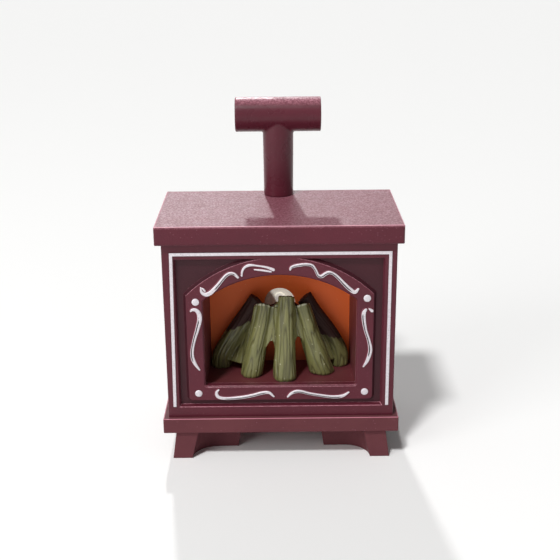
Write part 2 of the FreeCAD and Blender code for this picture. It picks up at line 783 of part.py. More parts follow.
def battery_box():
    """A tray for two cells, open to the back, with an ear at each side, a boss for the lid's screw and
    a shallow saddle in its top that the reflector lies over."""
    tray = box(-box_half, box_half, box_front, cover_front, box_low, box_top)
    saddle = rod(reflector_radius + part_gap, Vector(0, box_front - cut_overrun, lamp_z),
                 Vector(0, reflector_back, lamp_z))
    hollow = box(-cavity_half, cavity_half, box_front + box_wall, cover_front + cut_overrun,
                 box_low + box_wall, cavity_top)
    ears, holes = [], []
    for side in (-1, 1):
        left, right = sorted((side * (box_half - box_wall / 2), side * (box_half + ear_width)))
        ears.append(box(left, right, ear_back - ear_thickness, ear_back,
                        ear_z - ear_half_height, ear_z + ear_half_height))
        holes.append(rod(passing_radius, Vector(side * ear_x, ear_back - ear_thickness - cut_overrun, ear_z),
                         Vector(side * ear_x, ear_back + cut_overrun, ear_z)))
    boss = rod(lid_boss_radius, Vector(0, lid_boss_front, lid_boss_z), Vector(0, cover_front, lid_boss_z))
    root = box(-lid_boss_radius, lid_boss_radius, lid_boss_front, cover_front,
               box_top - box_wall / 2, lid_boss_z)
    lid_pilot_radius = passing_radius + part_gap
    holes.append(rod(lid_pilot_radius, Vector(0, lid_boss_front + cut_overrun / 2, lid_boss_z),
                     Vector(0, cover_front + cut_overrun, lid_boss_z)))
    slot_half_width = tab_width / 2 + part_gap
    slot_half_height = tab_height / 2 + part_gap
    for z in (cell_low_z, cell_high_z):
        holes.append(box(contact_half, box_half + cut_overrun, tab_y - slot_half_width,
                         tab_y + slot_half_width, z - slot_half_height, z + slot_half_height))
    return joined([tray.cut([hollow, saddle]), boss, root] + ears).cut(holes)


def cell(height, toward):
    """One round cell with its nub on the side that toward gives."""
    base = toward * (contact_half - nub_length - cell_length)
    shoulder = base + toward * cell_length
    can = rod(cell_radius, Vector(base, cell_y, height), Vector(shoulder, cell_y, height))
    can = can.makeFillet(cell_edge, [e for e in can.Edges if len(e.Vertexes) == 1])
    nub = rod(nub_radius, Vector(shoulder, cell_y, height), Vector(toward * contact_half, cell_y, height))
    return joined([can, nub])


def coil(height, side):
    """A coil spring between a contact plate and a cell's flat end."""
    length = spring_room - 2 * spring_wire - 2 * spring_end_gap
    path = Part.makeHelix(length / spring_turns, length, spring_radius)
    outer = Vector(spring_radius + spring_wire, 0, 0)
    inner = Vector(spring_radius - spring_wire, 0, 0)
    section = Part.Wire([
        Part.Arc(outer, Vector(spring_radius, 0, spring_wire), inner).toShape(),
        Part.Arc(inner, Vector(spring_radius, 0, -spring_wire), outer).toShape(),
    ])
    wound = Part.Wire(path).makePipeShell([section], True, True)
    start = side * (contact_half - spring_wire - spring_end_gap)
    turn = FreeCAD.Rotation(Vector(0, 0, 1), Vector(-side, 0, 0))
    wound.Placement = FreeCAD.Placement(Vector(start, cell_y, height), turn)
    return wound


def battery_springs():
    """The two springs: low on the right and high on the left."""
    return Part.makeCompound([coil(cell_low_z, 1), coil(cell_high_z, -1)])


def contact_plate(side, low, high):
    """A thin plate against one end of the tray."""
    left, right = sorted((side * contact_half, side * cavity_half))
    return box(left, right, cell_y - contact_half_width, cell_y + contact_half_width, low, high)


def battery_link():
    """The plate that joins the two cells on the left."""
    return contact_plate(-1, cell_low_z - contact_reach, cell_high_z + contact_reach)


def end_contact(height):
    """A plate on the right with a tab that comes out through the tray's side."""
    plate = contact_plate(1, height - contact_reach, height + contact_reach)
    tab = box(contact_half, box_half + tab_reach - box_wall, tab_y - tab_width / 2, tab_y + tab_width / 2,
              height - tab_height / 2, height + tab_height / 2)
    return joined([plate, tab])


def back_cover():
    """The back, let into the sleeve, with the battery opening, the switch's slot and its screw holes."""
    outer = inner_half - part_gap
    cover = box(-outer, outer, cover_front, body_back, floor + part_gap, ceiling - part_gap)
    door = box(-door_half_width, door_half_width, cover_front - cut_overrun, body_back + cut_overrun,
               door_bottom, door_top)
    slot_half = switch_travel / 2 + neck_half_width + part_gap
    slot_rise = neck_half_height + part_gap
    slot = box(switch_x - slot_half, switch_x + slot_half, cover_front - cut_overrun, body_back + cut_overrun,
               switch_z - slot_rise, switch_z + slot_rise)
    holes = [door, slot]
    socket_end = door_half_width + hinge_socket_depth
    holes.append(rod(hinge_pin_radius + turn_gap, Vector(-socket_end, hinge_y, hinge_z),
                     Vector(socket_end, hinge_y, hinge_z)))
    for x, z in corners():
        outside = Vector(x, body_back + cut_overrun, z)
        holes.append(rod(passing_radius, Vector(x, cover_front - cut_overrun, z), outside))
        holes.append(rod(screw_head_radius + part_gap, Vector(x, body_back - counterbore, z), outside))
    bosses = []
    for side in (-1, 1):
        bosses.append(rod(ear_boss_radius, Vector(side * ear_x, ear_back, ear_z),
                          Vector(side * ear_x, cover_front, ear_z)))
        holes.append(rod(pilot_radius, Vector(side * ear_x, ear_back - cut_overrun, ear_z),
                         Vector(side * ear_x, cover_front + cover_thickness / 2, ear_z)))
    return joined([cover] + bosses).cut(holes)


def battery_lid():
    """The lid, with a round lower edge on two moulded pins and a hole for its captive screw."""
    lid = box(-lid_half, lid_half, cover_front, body_back, hinge_z, lid_top)
    edge = rod(cover_thickness / 2, Vector(-lid_half, hinge_y, hinge_z), Vector(lid_half, hinge_y, hinge_z))
    reach = lid_half + hinge_pin_length
    pins = rod(hinge_pin_radius, Vector(-reach, hinge_y, hinge_z), Vector(reach, hinge_y, hinge_z))
    shank = rod(screw_radius + turn_gap, Vector(0, cover_front - cut_overrun, lid_boss_z),
                Vector(0, body_back + cut_overrun, lid_boss_z))
    sink = rod(screw_head_radius + part_gap, Vector(0, body_back - counterbore, lid_boss_z),
               Vector(0, body_back + cut_overrun, lid_boss_z))
    return joined([lid, edge, pins]).cut([shank, sink])


def switch_housing():
    """The cup behind the slot in which the slider runs."""
    shell = box(switch_x - housing_half_width, switch_x + housing_half_width, housing_front, cover_front,
                switch_z - housing_half_height, switch_z + housing_half_height)
    inside_width = housing_half_width - housing_wall
    inside_height = housing_half_height - housing_wall
    hollow = box(switch_x - inside_width, switch_x + inside_width, pad_front, cover_front + cut_overrun,
                 switch_z - inside_height, switch_z + inside_height)
    pins = [rod(pin_radius + turn_gap, Vector(x, housing_front - cut_overrun, switch_z),
                Vector(x, pad_front + cut_overrun, switch_z)) for x in pad_centres()]
    return shell.cut([hollow] + pins)


def pad_centres():
    """Where the two contact pads' pins stand along X."""
    return [switch_x + sum(pad) / 2 for pad in (pad_near, pad_far)]


def switch_pads():
    """Two fixed contacts, each a flat pad with a pin through the housing's floor."""
    pads = []
    for pad, x in zip((pad_near, pad_far), pad_centres()):
        flat = box(switch_x + pad[0], switch_x + pad[1], pad_front, pad_front + pad_thickness,
                   switch_z - pad_half_height, switch_z + pad_half_height)
        pin = rod(pin_radius, Vector(x, pin_tip, switch_z), Vector(x, pad_front, switch_z))
        pads.append(joined([flat, pin]))
    return Part.makeCompound(pads)


def switch_knob():
    """The knob outside, its neck through the slot and its slider inside, at the off end."""
    x, z = switch_off_x, switch_z
    slider = box(x - slider_half_width, x + slider_half_width, slider_front, slider_back,
                 z - slider_half_height, z + slider_half_height)
    neck = box(x - neck_half_width, x + neck_half_width, slider_back, body_back + part_gap,
               z - neck_half_height, z + neck_half_height)
    top = body_back + part_gap + knob_proud
    cap = box(x - knob_half_width, x + knob_half_width, body_back + part_gap, top,
              z - knob_half_height, z + knob_half_height)
    step = 2 * knob_half_width / (knob_grooves + 1)
    half_groove = knob_groove_width / 2
    grooves = [
        box(place - half_groove, place + half_groove, top - knob_groove_depth, top + cut_overrun,
            z - knob_half_height - cut_overrun, z + knob_half_height + cut_overrun)
        for place in [x - knob_half_width + step * (count + 1) for count in range(knob_grooves)]
    ]
    return joined([slider, neck, cap]).cut(grooves)


def switch_bridge():
    """A bent strip under the slider that joins the two pads when the knob is at the on end."""
    x, z = switch_off_x, switch_z
    foot = pad_front + pad_thickness + part_gap
    strip = box(x - bridge_half_width, x + bridge_half_width, slider_front - bridge_thickness, slider_front,
                z - bridge_half_height, z + bridge_half_height)
    legs = [box(left, left + bridge_thickness, foot, slider_front - bridge_thickness / 2,
                z - bridge_half_height, z + bridge_half_height)
            for left in (x - bridge_half_width, x + bridge_half_width - bridge_thickness)]
    return joined([strip] + legs)


def foot_wire(outer, face, z):
    """Plan outline of the front right foot: its flat faces to the front and side, and a scoop that
    sweeps from each back to the bracket that ties it to the plinth."""
    near = plinth_setback + foot_setback
    inner_y = near + scoop_back
    inner_x = outer - scoop_back
    arc_share = math.sqrt(1 / 2)

    def at(x, y):
        return Vector(x, y, z)

    def scooped(start, end, centre):
        middle = centre + (start - centre) * arc_share + (end - centre) * arc_share
        return Part.Arc(start, middle, end).toShape()

    run = scoop_back
    front_corner = at(outer - face, near)
    front_end = at(outer - face - run, inner_y)
    side_corner = at(outer, near + face)
    side_end = at(inner_x, near + face + run)
    front_tip = at(outer - scoop_reach, inner_y)
    side_tip = at(inner_x, near + scoop_side_reach)
    back_corner = at(inner_x - bracket_wall, inner_y + bracket_wall)
    front_scoop = scooped(front_corner, front_end, front_corner + Vector(-run, 0, 0))
    side_scoop = scooped(side_corner, side_end, side_corner + Vector(0, run, 0))
    lines = [
        (at(outer, near), front_corner),
        None,
        (front_end, front_tip),
        (front_tip, front_tip + Vector(0, bracket_wall, 0)),
        (front_tip + Vector(0, bracket_wall, 0), back_corner),
        (back_corner, side_tip + Vector(-bracket_wall, 0, 0)),
        (side_tip + Vector(-bracket_wall, 0, 0), side_tip),
        (side_tip, side_end),
        None,
        (side_corner, at(outer, near)),
    ]
    scoops = iter((front_scoop, side_scoop))
    return Part.Wire([Part.makeLine(*ends) if ends else next(scoops) for ends in lines])


def base_plinth():
    """The bottom slab, hollow from below, and its four feet in one moulding."""
    half = half_width - plinth_side_inset
    back = plate_depth - plinth_setback
    slab = box(-half, half, plinth_setback, back, foot_height, plinth_top)
    slab = rounded(slab, soft_edge, lambda b: upright(b) or level_at(plinth_top)(b))
    hollow = box(plinth_wall - half, half - plinth_wall, plinth_setback + plinth_wall, back - plinth_wall,
                 foot_height - cut_overrun, plinth_top - skin)
    holes = [rod(passing_radius, Vector(side * boss_x, y, foot_height), Vector(side * boss_x, y, body_top))
             for side in (-1, 1) for y in plinth_boss_places]
    outer = half - foot_side_inset
    foot = loft(foot_wire(outer, foot_face, 0),
                foot_wire(outer - foot_splay, foot_face_top, foot_height + skin / 2))
    feet = [foot, mirrored(foot, Vector(1, 0, 0)), mirrored(foot, Vector(0, 1, 0))]
    feet.append(mirrored(feet[1], Vector(0, 1, 0)))
    return joined([slab.cut(hollow)] + feet).cut(holes)


def lead(points):
    """A round lead along straight runs that arcs join, each arc as large as its two runs allow."""
    places = [Vector(*point) for point in points]
    edges = []
    here = places[0]
    for before, corner, after in zip(places, places[1:], places[2:]):
        incoming = corner - before
        outgoing = after - corner
        half_turn = incoming.getAngle(outgoing) / 2
        shorter = min(incoming.Length, outgoing.Length)
        radius = lead_bend_share * shorter / math.tan(half_turn)
        setback = radius * math.tan(half_turn)
        incoming = incoming.normalize()
        outgoing = outgoing.normalize()
        bend_start = corner - incoming * setback
        bend_end = corner + outgoing * setback
        inward = (outgoing - incoming).normalize()
        middle = corner + inward * (radius / math.cos(half_turn) - radius)
        edges.append(Part.makeLine(here, bend_start))
        edges.append(Part.Arc(bend_start, middle, bend_end).toShape())
        here = bend_end
    edges.append(Part.makeLine(here, places[-1]))
    path = Part.Wire(edges)
    start = places[0]
    section = Part.Wire(Part.makeCircle(lead_radius, start, places[1] - start))
    tube = path.makePipeShell([section], True, False)
    print("lead", round(path.Length, 1), "mm, volume", round(tube.Volume, 2),
          "against", round(math.pi * lead_radius ** 2 * path.Length, 2))
    return tube


def tab_end():
    """Where the end contacts' tabs stop along X."""
    return box_half + tab_reach - box_wall


def lead_negative():
    """From the lower cell's tab up beside the tray and across to the lamp's right lug."""
    lug = ferrule_radius + lug_length
    return lead([
        (tab_end(), tab_y, cell_low_z),
        (tab_end() + lead_outer_step, tab_y, cell_low_z),
        (tab_end() + lead_outer_step, tab_y, (cell_high_z + box_top) / 2),
        (box_half, lug_y, lamp_z),
        (lug, lug_y, lamp_z),
    ])


def lead_positive():
    """From the upper cell's tab up to the switch's far pin."""
    pin = pad_centres()[1]
    return lead([
        (tab_end(), tab_y, cell_high_z),
        (tab_end() + lead_side_step, tab_y, cell_high_z),
        (tab_end() + lead_side_step, tab_y, (cell_high_z + switch_z) / 2),
        (pin, pin_tip - lead_straight, switch_z),
        (pin, pin_tip, switch_z),
    ])


def lead_switched():
    """From the switch's near pin across and down to the lamp's left lug."""
    pin = pad_centres()[0]
    lug = ferrule_radius + lug_length
    drop = -lug - lamp_lead_reach
    return lead([
        (pin, pin_tip, switch_z),
        (pin, pin_tip - lead_straight, switch_z),
        (pin - switch_x, pin_tip - lead_straight / 2, switch_z),
        (drop, lug_y - lug_length, (lamp_z + switch_z) / 2),
        (drop, lug_y, lamp_z),
        (-lug, lug_y, lamp_z),
    ])


def screws():
    """Each group of screws by its node's name."""
    back = Vector(0, 1, 0)
    forward = Vector(0, -1, 0)
    up = Vector(0, 0, 1)
    plinth_places = [(side * boss_x, y) for side in (-1, 1) for y in plinth_boss_places]
    return {
        "fascia_screws": [screw(Vector(x, tab_front + tab_thickness, z), forward, fascia_screw_length)
                          for x, z in corners()],
        "back_screws": [screw(Vector(x, body_back - counterbore, z), forward, back_screw_length)
                        for x, z in corners()],
        "box_screws": [screw(Vector(side * ear_x, ear_back - ear_thickness, ear_z), back, box_screw_length)
                       for side in (-1, 1)],
        "base_screws": [screw(Vector(x, y, plinth_top - skin), up, base_screw_length)
                        for x, y in plinth_places],
        "lid_screw": [screw(Vector(0, body_back - counterbore, lid_boss_z), forward, lid_screw_length)],
    }


def pieces():
    """Every piece by its node's name."""
    named = {
        "top_plate": top_plate(),
        "chimney": chimney(),
        "chimney_clip": chimney_clip(),
        "body_shell": body_shell(),
        "front_fascia": front_fascia(),
        "silver_border": silver_border(),
        "silver_studs": silver_studs(),
        "silver_scrolls": silver_scrolls(),
        "firebox_liner": firebox_liner(),
        "glow_panel": glow_panel(),
        "log_pile": log_pile(),
        "lamp_reflector": lamp_reflector(),
        "lamp_bulb": lamp_bulb(),
        "lamp_ferrule": lamp_ferrule(),
        "battery_box": battery_box(),
        "cell_lower": cell(cell_low_z, -1),
        "cell_upper": cell(cell_high_z, 1),
        "battery_springs": battery_springs(),
        "battery_link": battery_link(),
        "contact_negative": end_contact(cell_low_z),
        "contact_positive": end_contact(cell_high_z),
        "back_cover": back_cover(),
        "battery_lid": battery_lid(),
        "switch_housing": switch_housing(),
        "switch_pads": switch_pads(),
        "switch_knob": switch_knob(),
        "switch_bridge": switch_bridge(),
        "lead_negative": lead_negative(),
        "lead_positive": lead_positive(),
        "lead_switched": lead_switched(),
        "base_plinth": base_plinth(),
    }
    for name, group in screws().items():
        named[name] = Part.makeCompound(group) if len(group) > 1 else group[0]
    return named


os.makedirs("parts", exist_ok=True)
for name, shape in pieces().items():
    placed = shape.copy()
    placed.translate(Vector(0, -whole_depth / 2, 0))
    print(name, "solids", len(placed.Solids), "valid", placed.isValid(), "volume", round(placed.Volume, 1))
    placed.exportStep("parts/" + name + ".step")
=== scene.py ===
# %% [markdown]
# # A toy wood stove for a doll's house
# The real toy is a few glossy plastic mouldings held together by small screws: a maroon casing with
# an arched front, a pile of painted logs before an orange panel, and a chimney that turns.
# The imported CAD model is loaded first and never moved. Everything here is dressed around it.

# %% Load the fixed frame
import json
import math

import bmesh
import bpy
import numpy as np
from mathutils import Matrix, Vector, noise


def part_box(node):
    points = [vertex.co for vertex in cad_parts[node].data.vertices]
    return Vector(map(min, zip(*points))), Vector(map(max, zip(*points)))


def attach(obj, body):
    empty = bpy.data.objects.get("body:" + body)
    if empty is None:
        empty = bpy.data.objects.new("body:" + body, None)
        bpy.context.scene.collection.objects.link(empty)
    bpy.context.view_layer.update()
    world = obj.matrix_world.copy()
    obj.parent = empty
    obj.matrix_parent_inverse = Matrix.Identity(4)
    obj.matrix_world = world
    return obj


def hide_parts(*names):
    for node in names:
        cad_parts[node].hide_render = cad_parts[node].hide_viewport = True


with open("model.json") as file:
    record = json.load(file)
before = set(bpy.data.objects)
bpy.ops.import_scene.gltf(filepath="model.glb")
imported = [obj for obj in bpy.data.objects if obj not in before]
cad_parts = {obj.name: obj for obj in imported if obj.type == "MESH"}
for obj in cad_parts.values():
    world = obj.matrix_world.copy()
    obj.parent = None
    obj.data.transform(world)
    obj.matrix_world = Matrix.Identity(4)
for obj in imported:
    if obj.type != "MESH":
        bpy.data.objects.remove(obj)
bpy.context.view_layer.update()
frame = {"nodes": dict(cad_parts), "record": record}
MM = 0.001

# %% [markdown]
# ## The camera
# A camera set by eye would be off by a little everywhere, so its place, tilt and lens were worked out
# from the straight edges of the casing in the photograph. Building the rotation from three directions
# keeps the small roll of the picture exact.

# %% The camera at the photograph's angle
CAMERA_PLACE = Vector((-0.652, -315.225, 164.311)) * MM
YAW, PITCH, ROLL = (math.radians(angle) for angle in (0.1455, 19.403, -0.5166))
LENS, SENSOR = 66.17, 36.0

ahead = Vector((math.sin(YAW) * math.cos(PITCH), math.cos(YAW) * math.cos(PITCH), -math.sin(PITCH)))
level = Vector((math.cos(YAW), -math.sin(YAW), 0))
above = level.cross(ahead)
right = math.cos(ROLL) * level + math.sin(ROLL) * above
up = math.cos(ROLL) * above - math.sin(ROLL) * level
turned = Matrix((right, up, -ahead)).transposed().to_4x4()

camera_data = bpy.data.cameras.new("camera")
camera_data.lens = LENS
camera_data.sensor_width = SENSOR
camera_data.clip_start = 10 * MM
camera = bpy.data.objects.new("camera", camera_data)
camera.matrix_world = Matrix.Translation(CAMERA_PLACE) @ turned
bpy.context.scene.collection.objects.link(camera)
bpy.context.scene.camera = camera
print("camera looks along", [round(part, 3) for part in ahead])

# %% [markdown]
# ## Colours and nodes
# A colour is read from a picture as an sRGB code, but Cycles works with linear light, so one function
# turns the code round. A second one adds any node with its settings and links. A third starts a
# material and gives the place on the object, in metres, by which every pattern here is laid out.

# %% Small helpers for every material
def colour(code):
    """An sRGB hex code as linear red, green, blue and alpha."""
    parts = [int(code[start:start + 2], 16) / 255 for start in (0, 2, 4)]
    linear = [part / 12.92 if part <= 0.04045 else ((part + 0.055) / 1.055) ** 2.4 for part in parts]
    return linear + [1.0]


def add(tree, kind, inputs=None, **settings):
    """A new node. inputs maps a socket's name or number to a value or to another node's output."""
    node = tree.nodes.new(kind)
    for name, value in settings.items():
        setattr(node, name, value)
    for key, value in (inputs or {}).items():
        if isinstance(value, bpy.types.NodeSocket):
            tree.links.new(value, node.inputs[key])
        else:
            node.inputs[key].default_value = value
    return node


def new_material(name):
    """A material with its tree, its shader and the place on the object in metres."""
    material = bpy.data.materials.new(name)
    material.use_nodes = True
    tree = material.node_tree
    place = add(tree, "ShaderNodeTexCoord").outputs["Object"]
    return material, tree, tree.nodes["Principled BSDF"], place


print("half grey 808080 is", round(colour("808080")[0], 3), "in linear light")

# %% [markdown]
# ## Lamps and sky
# A far lamp behind the toy throws the chimney's shadow as a T on the top plate and gives the plate its
# sheen. A ceiling lamp, high in front and a little to the left, draws the bright line along the pipe and
# the dark band under the plate. A soft window lamp at the left reaches into the firebox, and a pale sky
# fills the rest. The sky lights the toy weakly, but the camera, glossy faces and clear ones see it
# nearly white. Light Path tells these rays apart, so the backdrop is pale without more light on the toy.

# %% Lamps and sky
# The way that each far lamp shines, its strength and how wide it looks from the toy.
FAR_LAMPS = {
    "back_lamp": (Vector((4.6, -38.6, -26.5)), 1.15, math.radians(2.4)),
    "ceiling_lamp": (Vector((0.3, 0.55, -1.0)), 1.9, math.radians(7)),
}
WINDOW_LAMP_PLACE, WINDOW_LAMP_AIM = Vector((-0.56, -0.52, 0.34)), Vector((0, 0, 0.05))
WINDOW_LAMP_SIZE, WINDOW_LAMP_POWER = 0.4, 2.4
SKY_STRENGTH, BACKGROUND_STRENGTH = 0.19, 0.86


def aimed(lamp, way):
    """Turns a lamp so that it shines along the given way."""
    lamp.rotation_euler = way.to_track_quat("-Z", "Y").to_euler()
    bpy.context.scene.collection.objects.link(lamp)
    return lamp


for name, (way, strength, width) in FAR_LAMPS.items():
    far_light = bpy.data.lights.new(name, "SUN")
    far_light.energy, far_light.angle = strength, width
    aimed(bpy.data.objects.new(name, far_light), way)

window_light = bpy.data.lights.new("window_lamp", "AREA")
window_light.energy, window_light.size = WINDOW_LAMP_POWER, WINDOW_LAMP_SIZE
window_lamp = aimed(bpy.data.objects.new("window_lamp", window_light), WINDOW_LAMP_AIM - WINDOW_LAMP_PLACE)
window_lamp.location = WINDOW_LAMP_PLACE

world = bpy.data.worlds.new("sky")
world.use_nodes = True
tree = world.node_tree
sky = tree.nodes["Background"]
sky.inputs["Color"].default_value = colour("FFFFFF")
ray = add(tree, "ShaderNodeLightPath").outputs
glossy_or_clear = add(tree, "ShaderNodeMath", {0: ray["Is Glossy Ray"], 1: ray["Is Transmission Ray"]},
                      operation="MAXIMUM")
seen = add(tree, "ShaderNodeMath", {0: ray["Is Camera Ray"], 1: glossy_or_clear.outputs[0]},
           operation="MAXIMUM")
strength = add(tree, "ShaderNodeMix", {0: seen.outputs[0], 2: SKY_STRENGTH, 3: BACKGROUND_STRENGTH})
tree.links.new(strength.outputs[0], sky.inputs["Strength"])
bpy.context.scene.world = world
bpy.context.scene.view_settings.view_transform = "Standard"
print("lamps:", [*FAR_LAMPS, window_lamp.name], "sky strength:", SKY_STRENGTH)

# %% [markdown]
# ## The floor
# A very wide sheet of nearly white paper keeps the toy's shadow and meets the sky far off, from every
# side. A curved backdrop would do for one view, but its end would show from behind.

# %% Floor
FLOOR_SIZE = 190.0

# Matt uncoated paper: a plain pale ground with hardly any shine of its own.
paper, tree, shader, place = new_material("floor_paper")
shader.inputs["Base Color"].default_value = colour("FCFCFB")
shader.inputs["Roughness"].default_value = 0.9
shader.inputs["Specular IOR Level"].default_value = 0.1

half = FLOOR_SIZE / 2
floor_mesh = bpy.data.meshes.new("floor")
floor_mesh.from_pydata([(-half, -half, 0), (half, -half, 0), (half, half, 0), (-half, half, 0)], [],
                       [(0, 1, 2, 3)])
floor = bpy.data.objects.new("floor", floor_mesh)
bpy.context.scene.collection.objects.link(floor)
floor.data.materials.append(paper)
print("floor:", FLOOR_SIZE, "m wide")

# %% [markdown]
# ## The plastic's own colour
# The casing is polystyrene, injection moulded: its colour drifts a little where the melt flowed, and it
# carries fine pale flecks of pearl pigment. A picture of plastic would blur up close, so both are made
# from patterns whose sizes are in millimetres. Cloudy noise gives the drift. Cells with a small bright
# middle give the flecks, and only a share of the cells gets one, each as bright as its cell's colour
# says, so that they don't look counted out.

# %% Drift and pearl flecks
# The drift is as long as the melt's streaks. Real flecks are finer and closer, and these are as coarse
# as they need to be to show. Their size is a share of their spacing.
DRIFT_LENGTH, FLECK_SPACING, FLECK_SIZE = 14 * MM, 0.7 * MM, 0.09


def pearly(tree, place, deep, pale, fleck, fleck_share):
    """A colour that drifts between two shades, with pale flecks on a share of its cells."""
    drift = add(tree, "ShaderNodeTexNoise", {"Vector": place, "Scale": 1 / DRIFT_LENGTH, "Detail": 4.0})
    body = add(tree, "ShaderNodeMix", {0: drift.outputs["Fac"], 6: colour(deep), 7: colour(pale)},
               data_type="RGBA")
    cells = add(tree, "ShaderNodeTexVoronoi", {"Vector": place, "Scale": 1 / FLECK_SPACING})
    spot = add(tree, "ShaderNodeMapRange", {"Value": cells.outputs["Distance"], "From Min": FLECK_SIZE,
                                            "From Max": FLECK_SIZE * 2, "To Min": 1.0, "To Max": 0.0})
    chosen = add(tree, "ShaderNodeSeparateColor", {0: cells.outputs["Color"]})
    kept = add(tree, "ShaderNodeMath", {0: chosen.outputs[0], 1: 1 - fleck_share}, operation="GREATER_THAN")
    bright = add(tree, "ShaderNodeMath", {0: chosen.outputs[1], 1: kept.outputs[0]}, operation="MULTIPLY")
    flecks = add(tree, "ShaderNodeMath", {0: spot.outputs[0], 1: bright.outputs[0]}, operation="MULTIPLY")
    tone = add(tree, "ShaderNodeMix", {0: flecks.outputs[0], 6: body.outputs[2], 7: colour(fleck)},
               data_type="RGBA")
    return tone.outputs[2]


print("flecks every", FLECK_SPACING / MM, "mm or more")

# %% [markdown]
# ## Painted top light and pale edges
# Faces that look up get painted light from above, so they are paler and grainy, and between the grains
# the gloss glints. Edges that look up are pale in patches, partly rubbed and partly a painted highlight.
# All this could be marked by hand on each moulding, but one rule serves them all: the Z of the normal
# tells what looks up, one noise makes the grains and the patches, and a Bevel node finds the edges,
# because its normal turns away from the face's own there.

# %% Painted top light, glints, and rubbed and highlit edges
TOP_LIGHT_COLOUR, RUBBED_HIGHLIGHT_COLOUR = "B0707F", "F0A6B6"
# How far a normal rises where the painted top light starts and where it is full.
TOP_LIGHT_RISE = (0.6, 0.95)
# The grain noise's values between which the painted top light and the glints grow, and how strong they are at
# both ends.
TOP_LIGHT_GRAINS, TOP_LIGHT_STRENGTH = (0.43, 0.59), (0.45, 1.15)
GLINT_GRAINS, GLINT_STRENGTH, GLINT_ROUGHNESS = (0.48, 0.6), 0.8, 0.28
# How far the bevelled normal turns from the face's own, how far it rises, and the patches' noise.
EDGE_TURN, EDGE_RISE, PATCH_GRAINS, PATCH_LEAST = (0.985, 0.9), (0.1, 0.45), (0.3, 0.55), 0.35


def painted_top_light(tree, tone, grains, top_light_share):
    """The colour with painted light on the faces that look up, in grains, and the strength of the glints
    between.
    """
    facing = add(tree, "ShaderNodeSeparateXYZ", {0: add(tree, "ShaderNodeNewGeometry").outputs["Normal"]})
    upward = add(tree, "ShaderNodeMapRange", {"Value": facing.outputs["Z"], "From Min": TOP_LIGHT_RISE[0],
                                              "From Max": TOP_LIGHT_RISE[1], "To Max": top_light_share})
    speckle = add(tree, "ShaderNodeMapRange", {
        "Value": grains, "From Min": TOP_LIGHT_GRAINS[0], "From Max": TOP_LIGHT_GRAINS[1],
        "To Min": TOP_LIGHT_STRENGTH[0], "To Max": TOP_LIGHT_STRENGTH[1]})
    top_lit = add(tree, "ShaderNodeMath", {0: upward.outputs[0], 1: speckle.outputs[0]}, operation="MULTIPLY")
    top_lit_tone = add(tree, "ShaderNodeMix", {0: top_lit.outputs[0], 6: tone, 7: colour(TOP_LIGHT_COLOUR)},
                 data_type="RGBA")
    glint = add(tree, "ShaderNodeMapRange", {"Value": grains, "From Min": GLINT_GRAINS[0],
                                             "From Max": GLINT_GRAINS[1], "To Max": GLINT_STRENGTH})
    spark = add(tree, "ShaderNodeMath", {0: upward.outputs[0], 1: glint.outputs[0]}, operation="MULTIPLY")
    return top_lit_tone.outputs[2], spark.outputs[0]


def rubbed_and_highlit_edges(tree, tone, grains, join, wear_and_highlight):
    """The colour with its upward edges pale in patches, rubbed and painted as highlight. join is the bevelled
    normal.
    """
    flat = add(tree, "ShaderNodeNewGeometry").outputs["True Normal"]
    turn = add(tree, "ShaderNodeVectorMath", {0: join, 1: flat}, operation="DOT_PRODUCT")
    edge = add(tree, "ShaderNodeMapRange", {"Value": turn.outputs["Value"], "From Min": EDGE_TURN[0],
                                            "From Max": EDGE_TURN[1], "To Max": wear_and_highlight})
    rise = add(tree, "ShaderNodeSeparateXYZ", {0: join})
    high = add(tree, "ShaderNodeMapRange", {"Value": rise.outputs["Z"], "From Min": EDGE_RISE[0],
                                            "From Max": EDGE_RISE[1]})
    patches = add(tree, "ShaderNodeMapRange", {"Value": grains, "From Min": PATCH_GRAINS[0],
                                               "From Max": PATCH_GRAINS[1], "To Min": PATCH_LEAST})
    where = add(tree, "ShaderNodeMath", {0: edge.outputs[0], 1: high.outputs[0]}, operation="MULTIPLY")
    worn = add(tree, "ShaderNodeMath", {0: where.outputs[0], 1: patches.outputs[0]}, operation="MULTIPLY")
    paled = add(tree, "ShaderNodeMix", {0: worn.outputs[0], 6: tone, 7: colour(RUBBED_HIGHLIGHT_COLOUR)},
                 data_type="RGBA")
    return paled.outputs[2]


print("painted_light lies where the normal rises above", TOP_LIGHT_RISE[0])

# %% [markdown]
# ## The moulded skin
# A mould leaves a satin skin with slow waves, where the plastic shrank, and a fine grain. They are only
# hundredths of a millimetre high, so a bump shows them as well as a shape would. Two bumps lie one on
# the other, over a small radius at every inner and outer join. The gloss drifts with the waves, and a
# little sheen stands for the soft bloom on old plastic.

# %% Any moulded plastic
PLASTIC_IOR, SHEEN_COLOUR, SHEEN_ROUGHNESS = 1.5, "E0A0AC", 0.4
# The mould's own grain is finer than a tenth of a millimetre. It and the grains of the painted top light
# are drawn as coarse as they need to be to show.
SPECKLE_WIDTH, GRAIN_WIDTH = 0.55 * MM, 0.4 * MM
WAVE_LENGTH, WAVE_HEIGHT = 3.5 * MM, 0.05 * MM
# How much glossier and how much duller than its own roughness a moulding gets along the waves.
GLOSSIER, DULLER = 0.06, 0.08


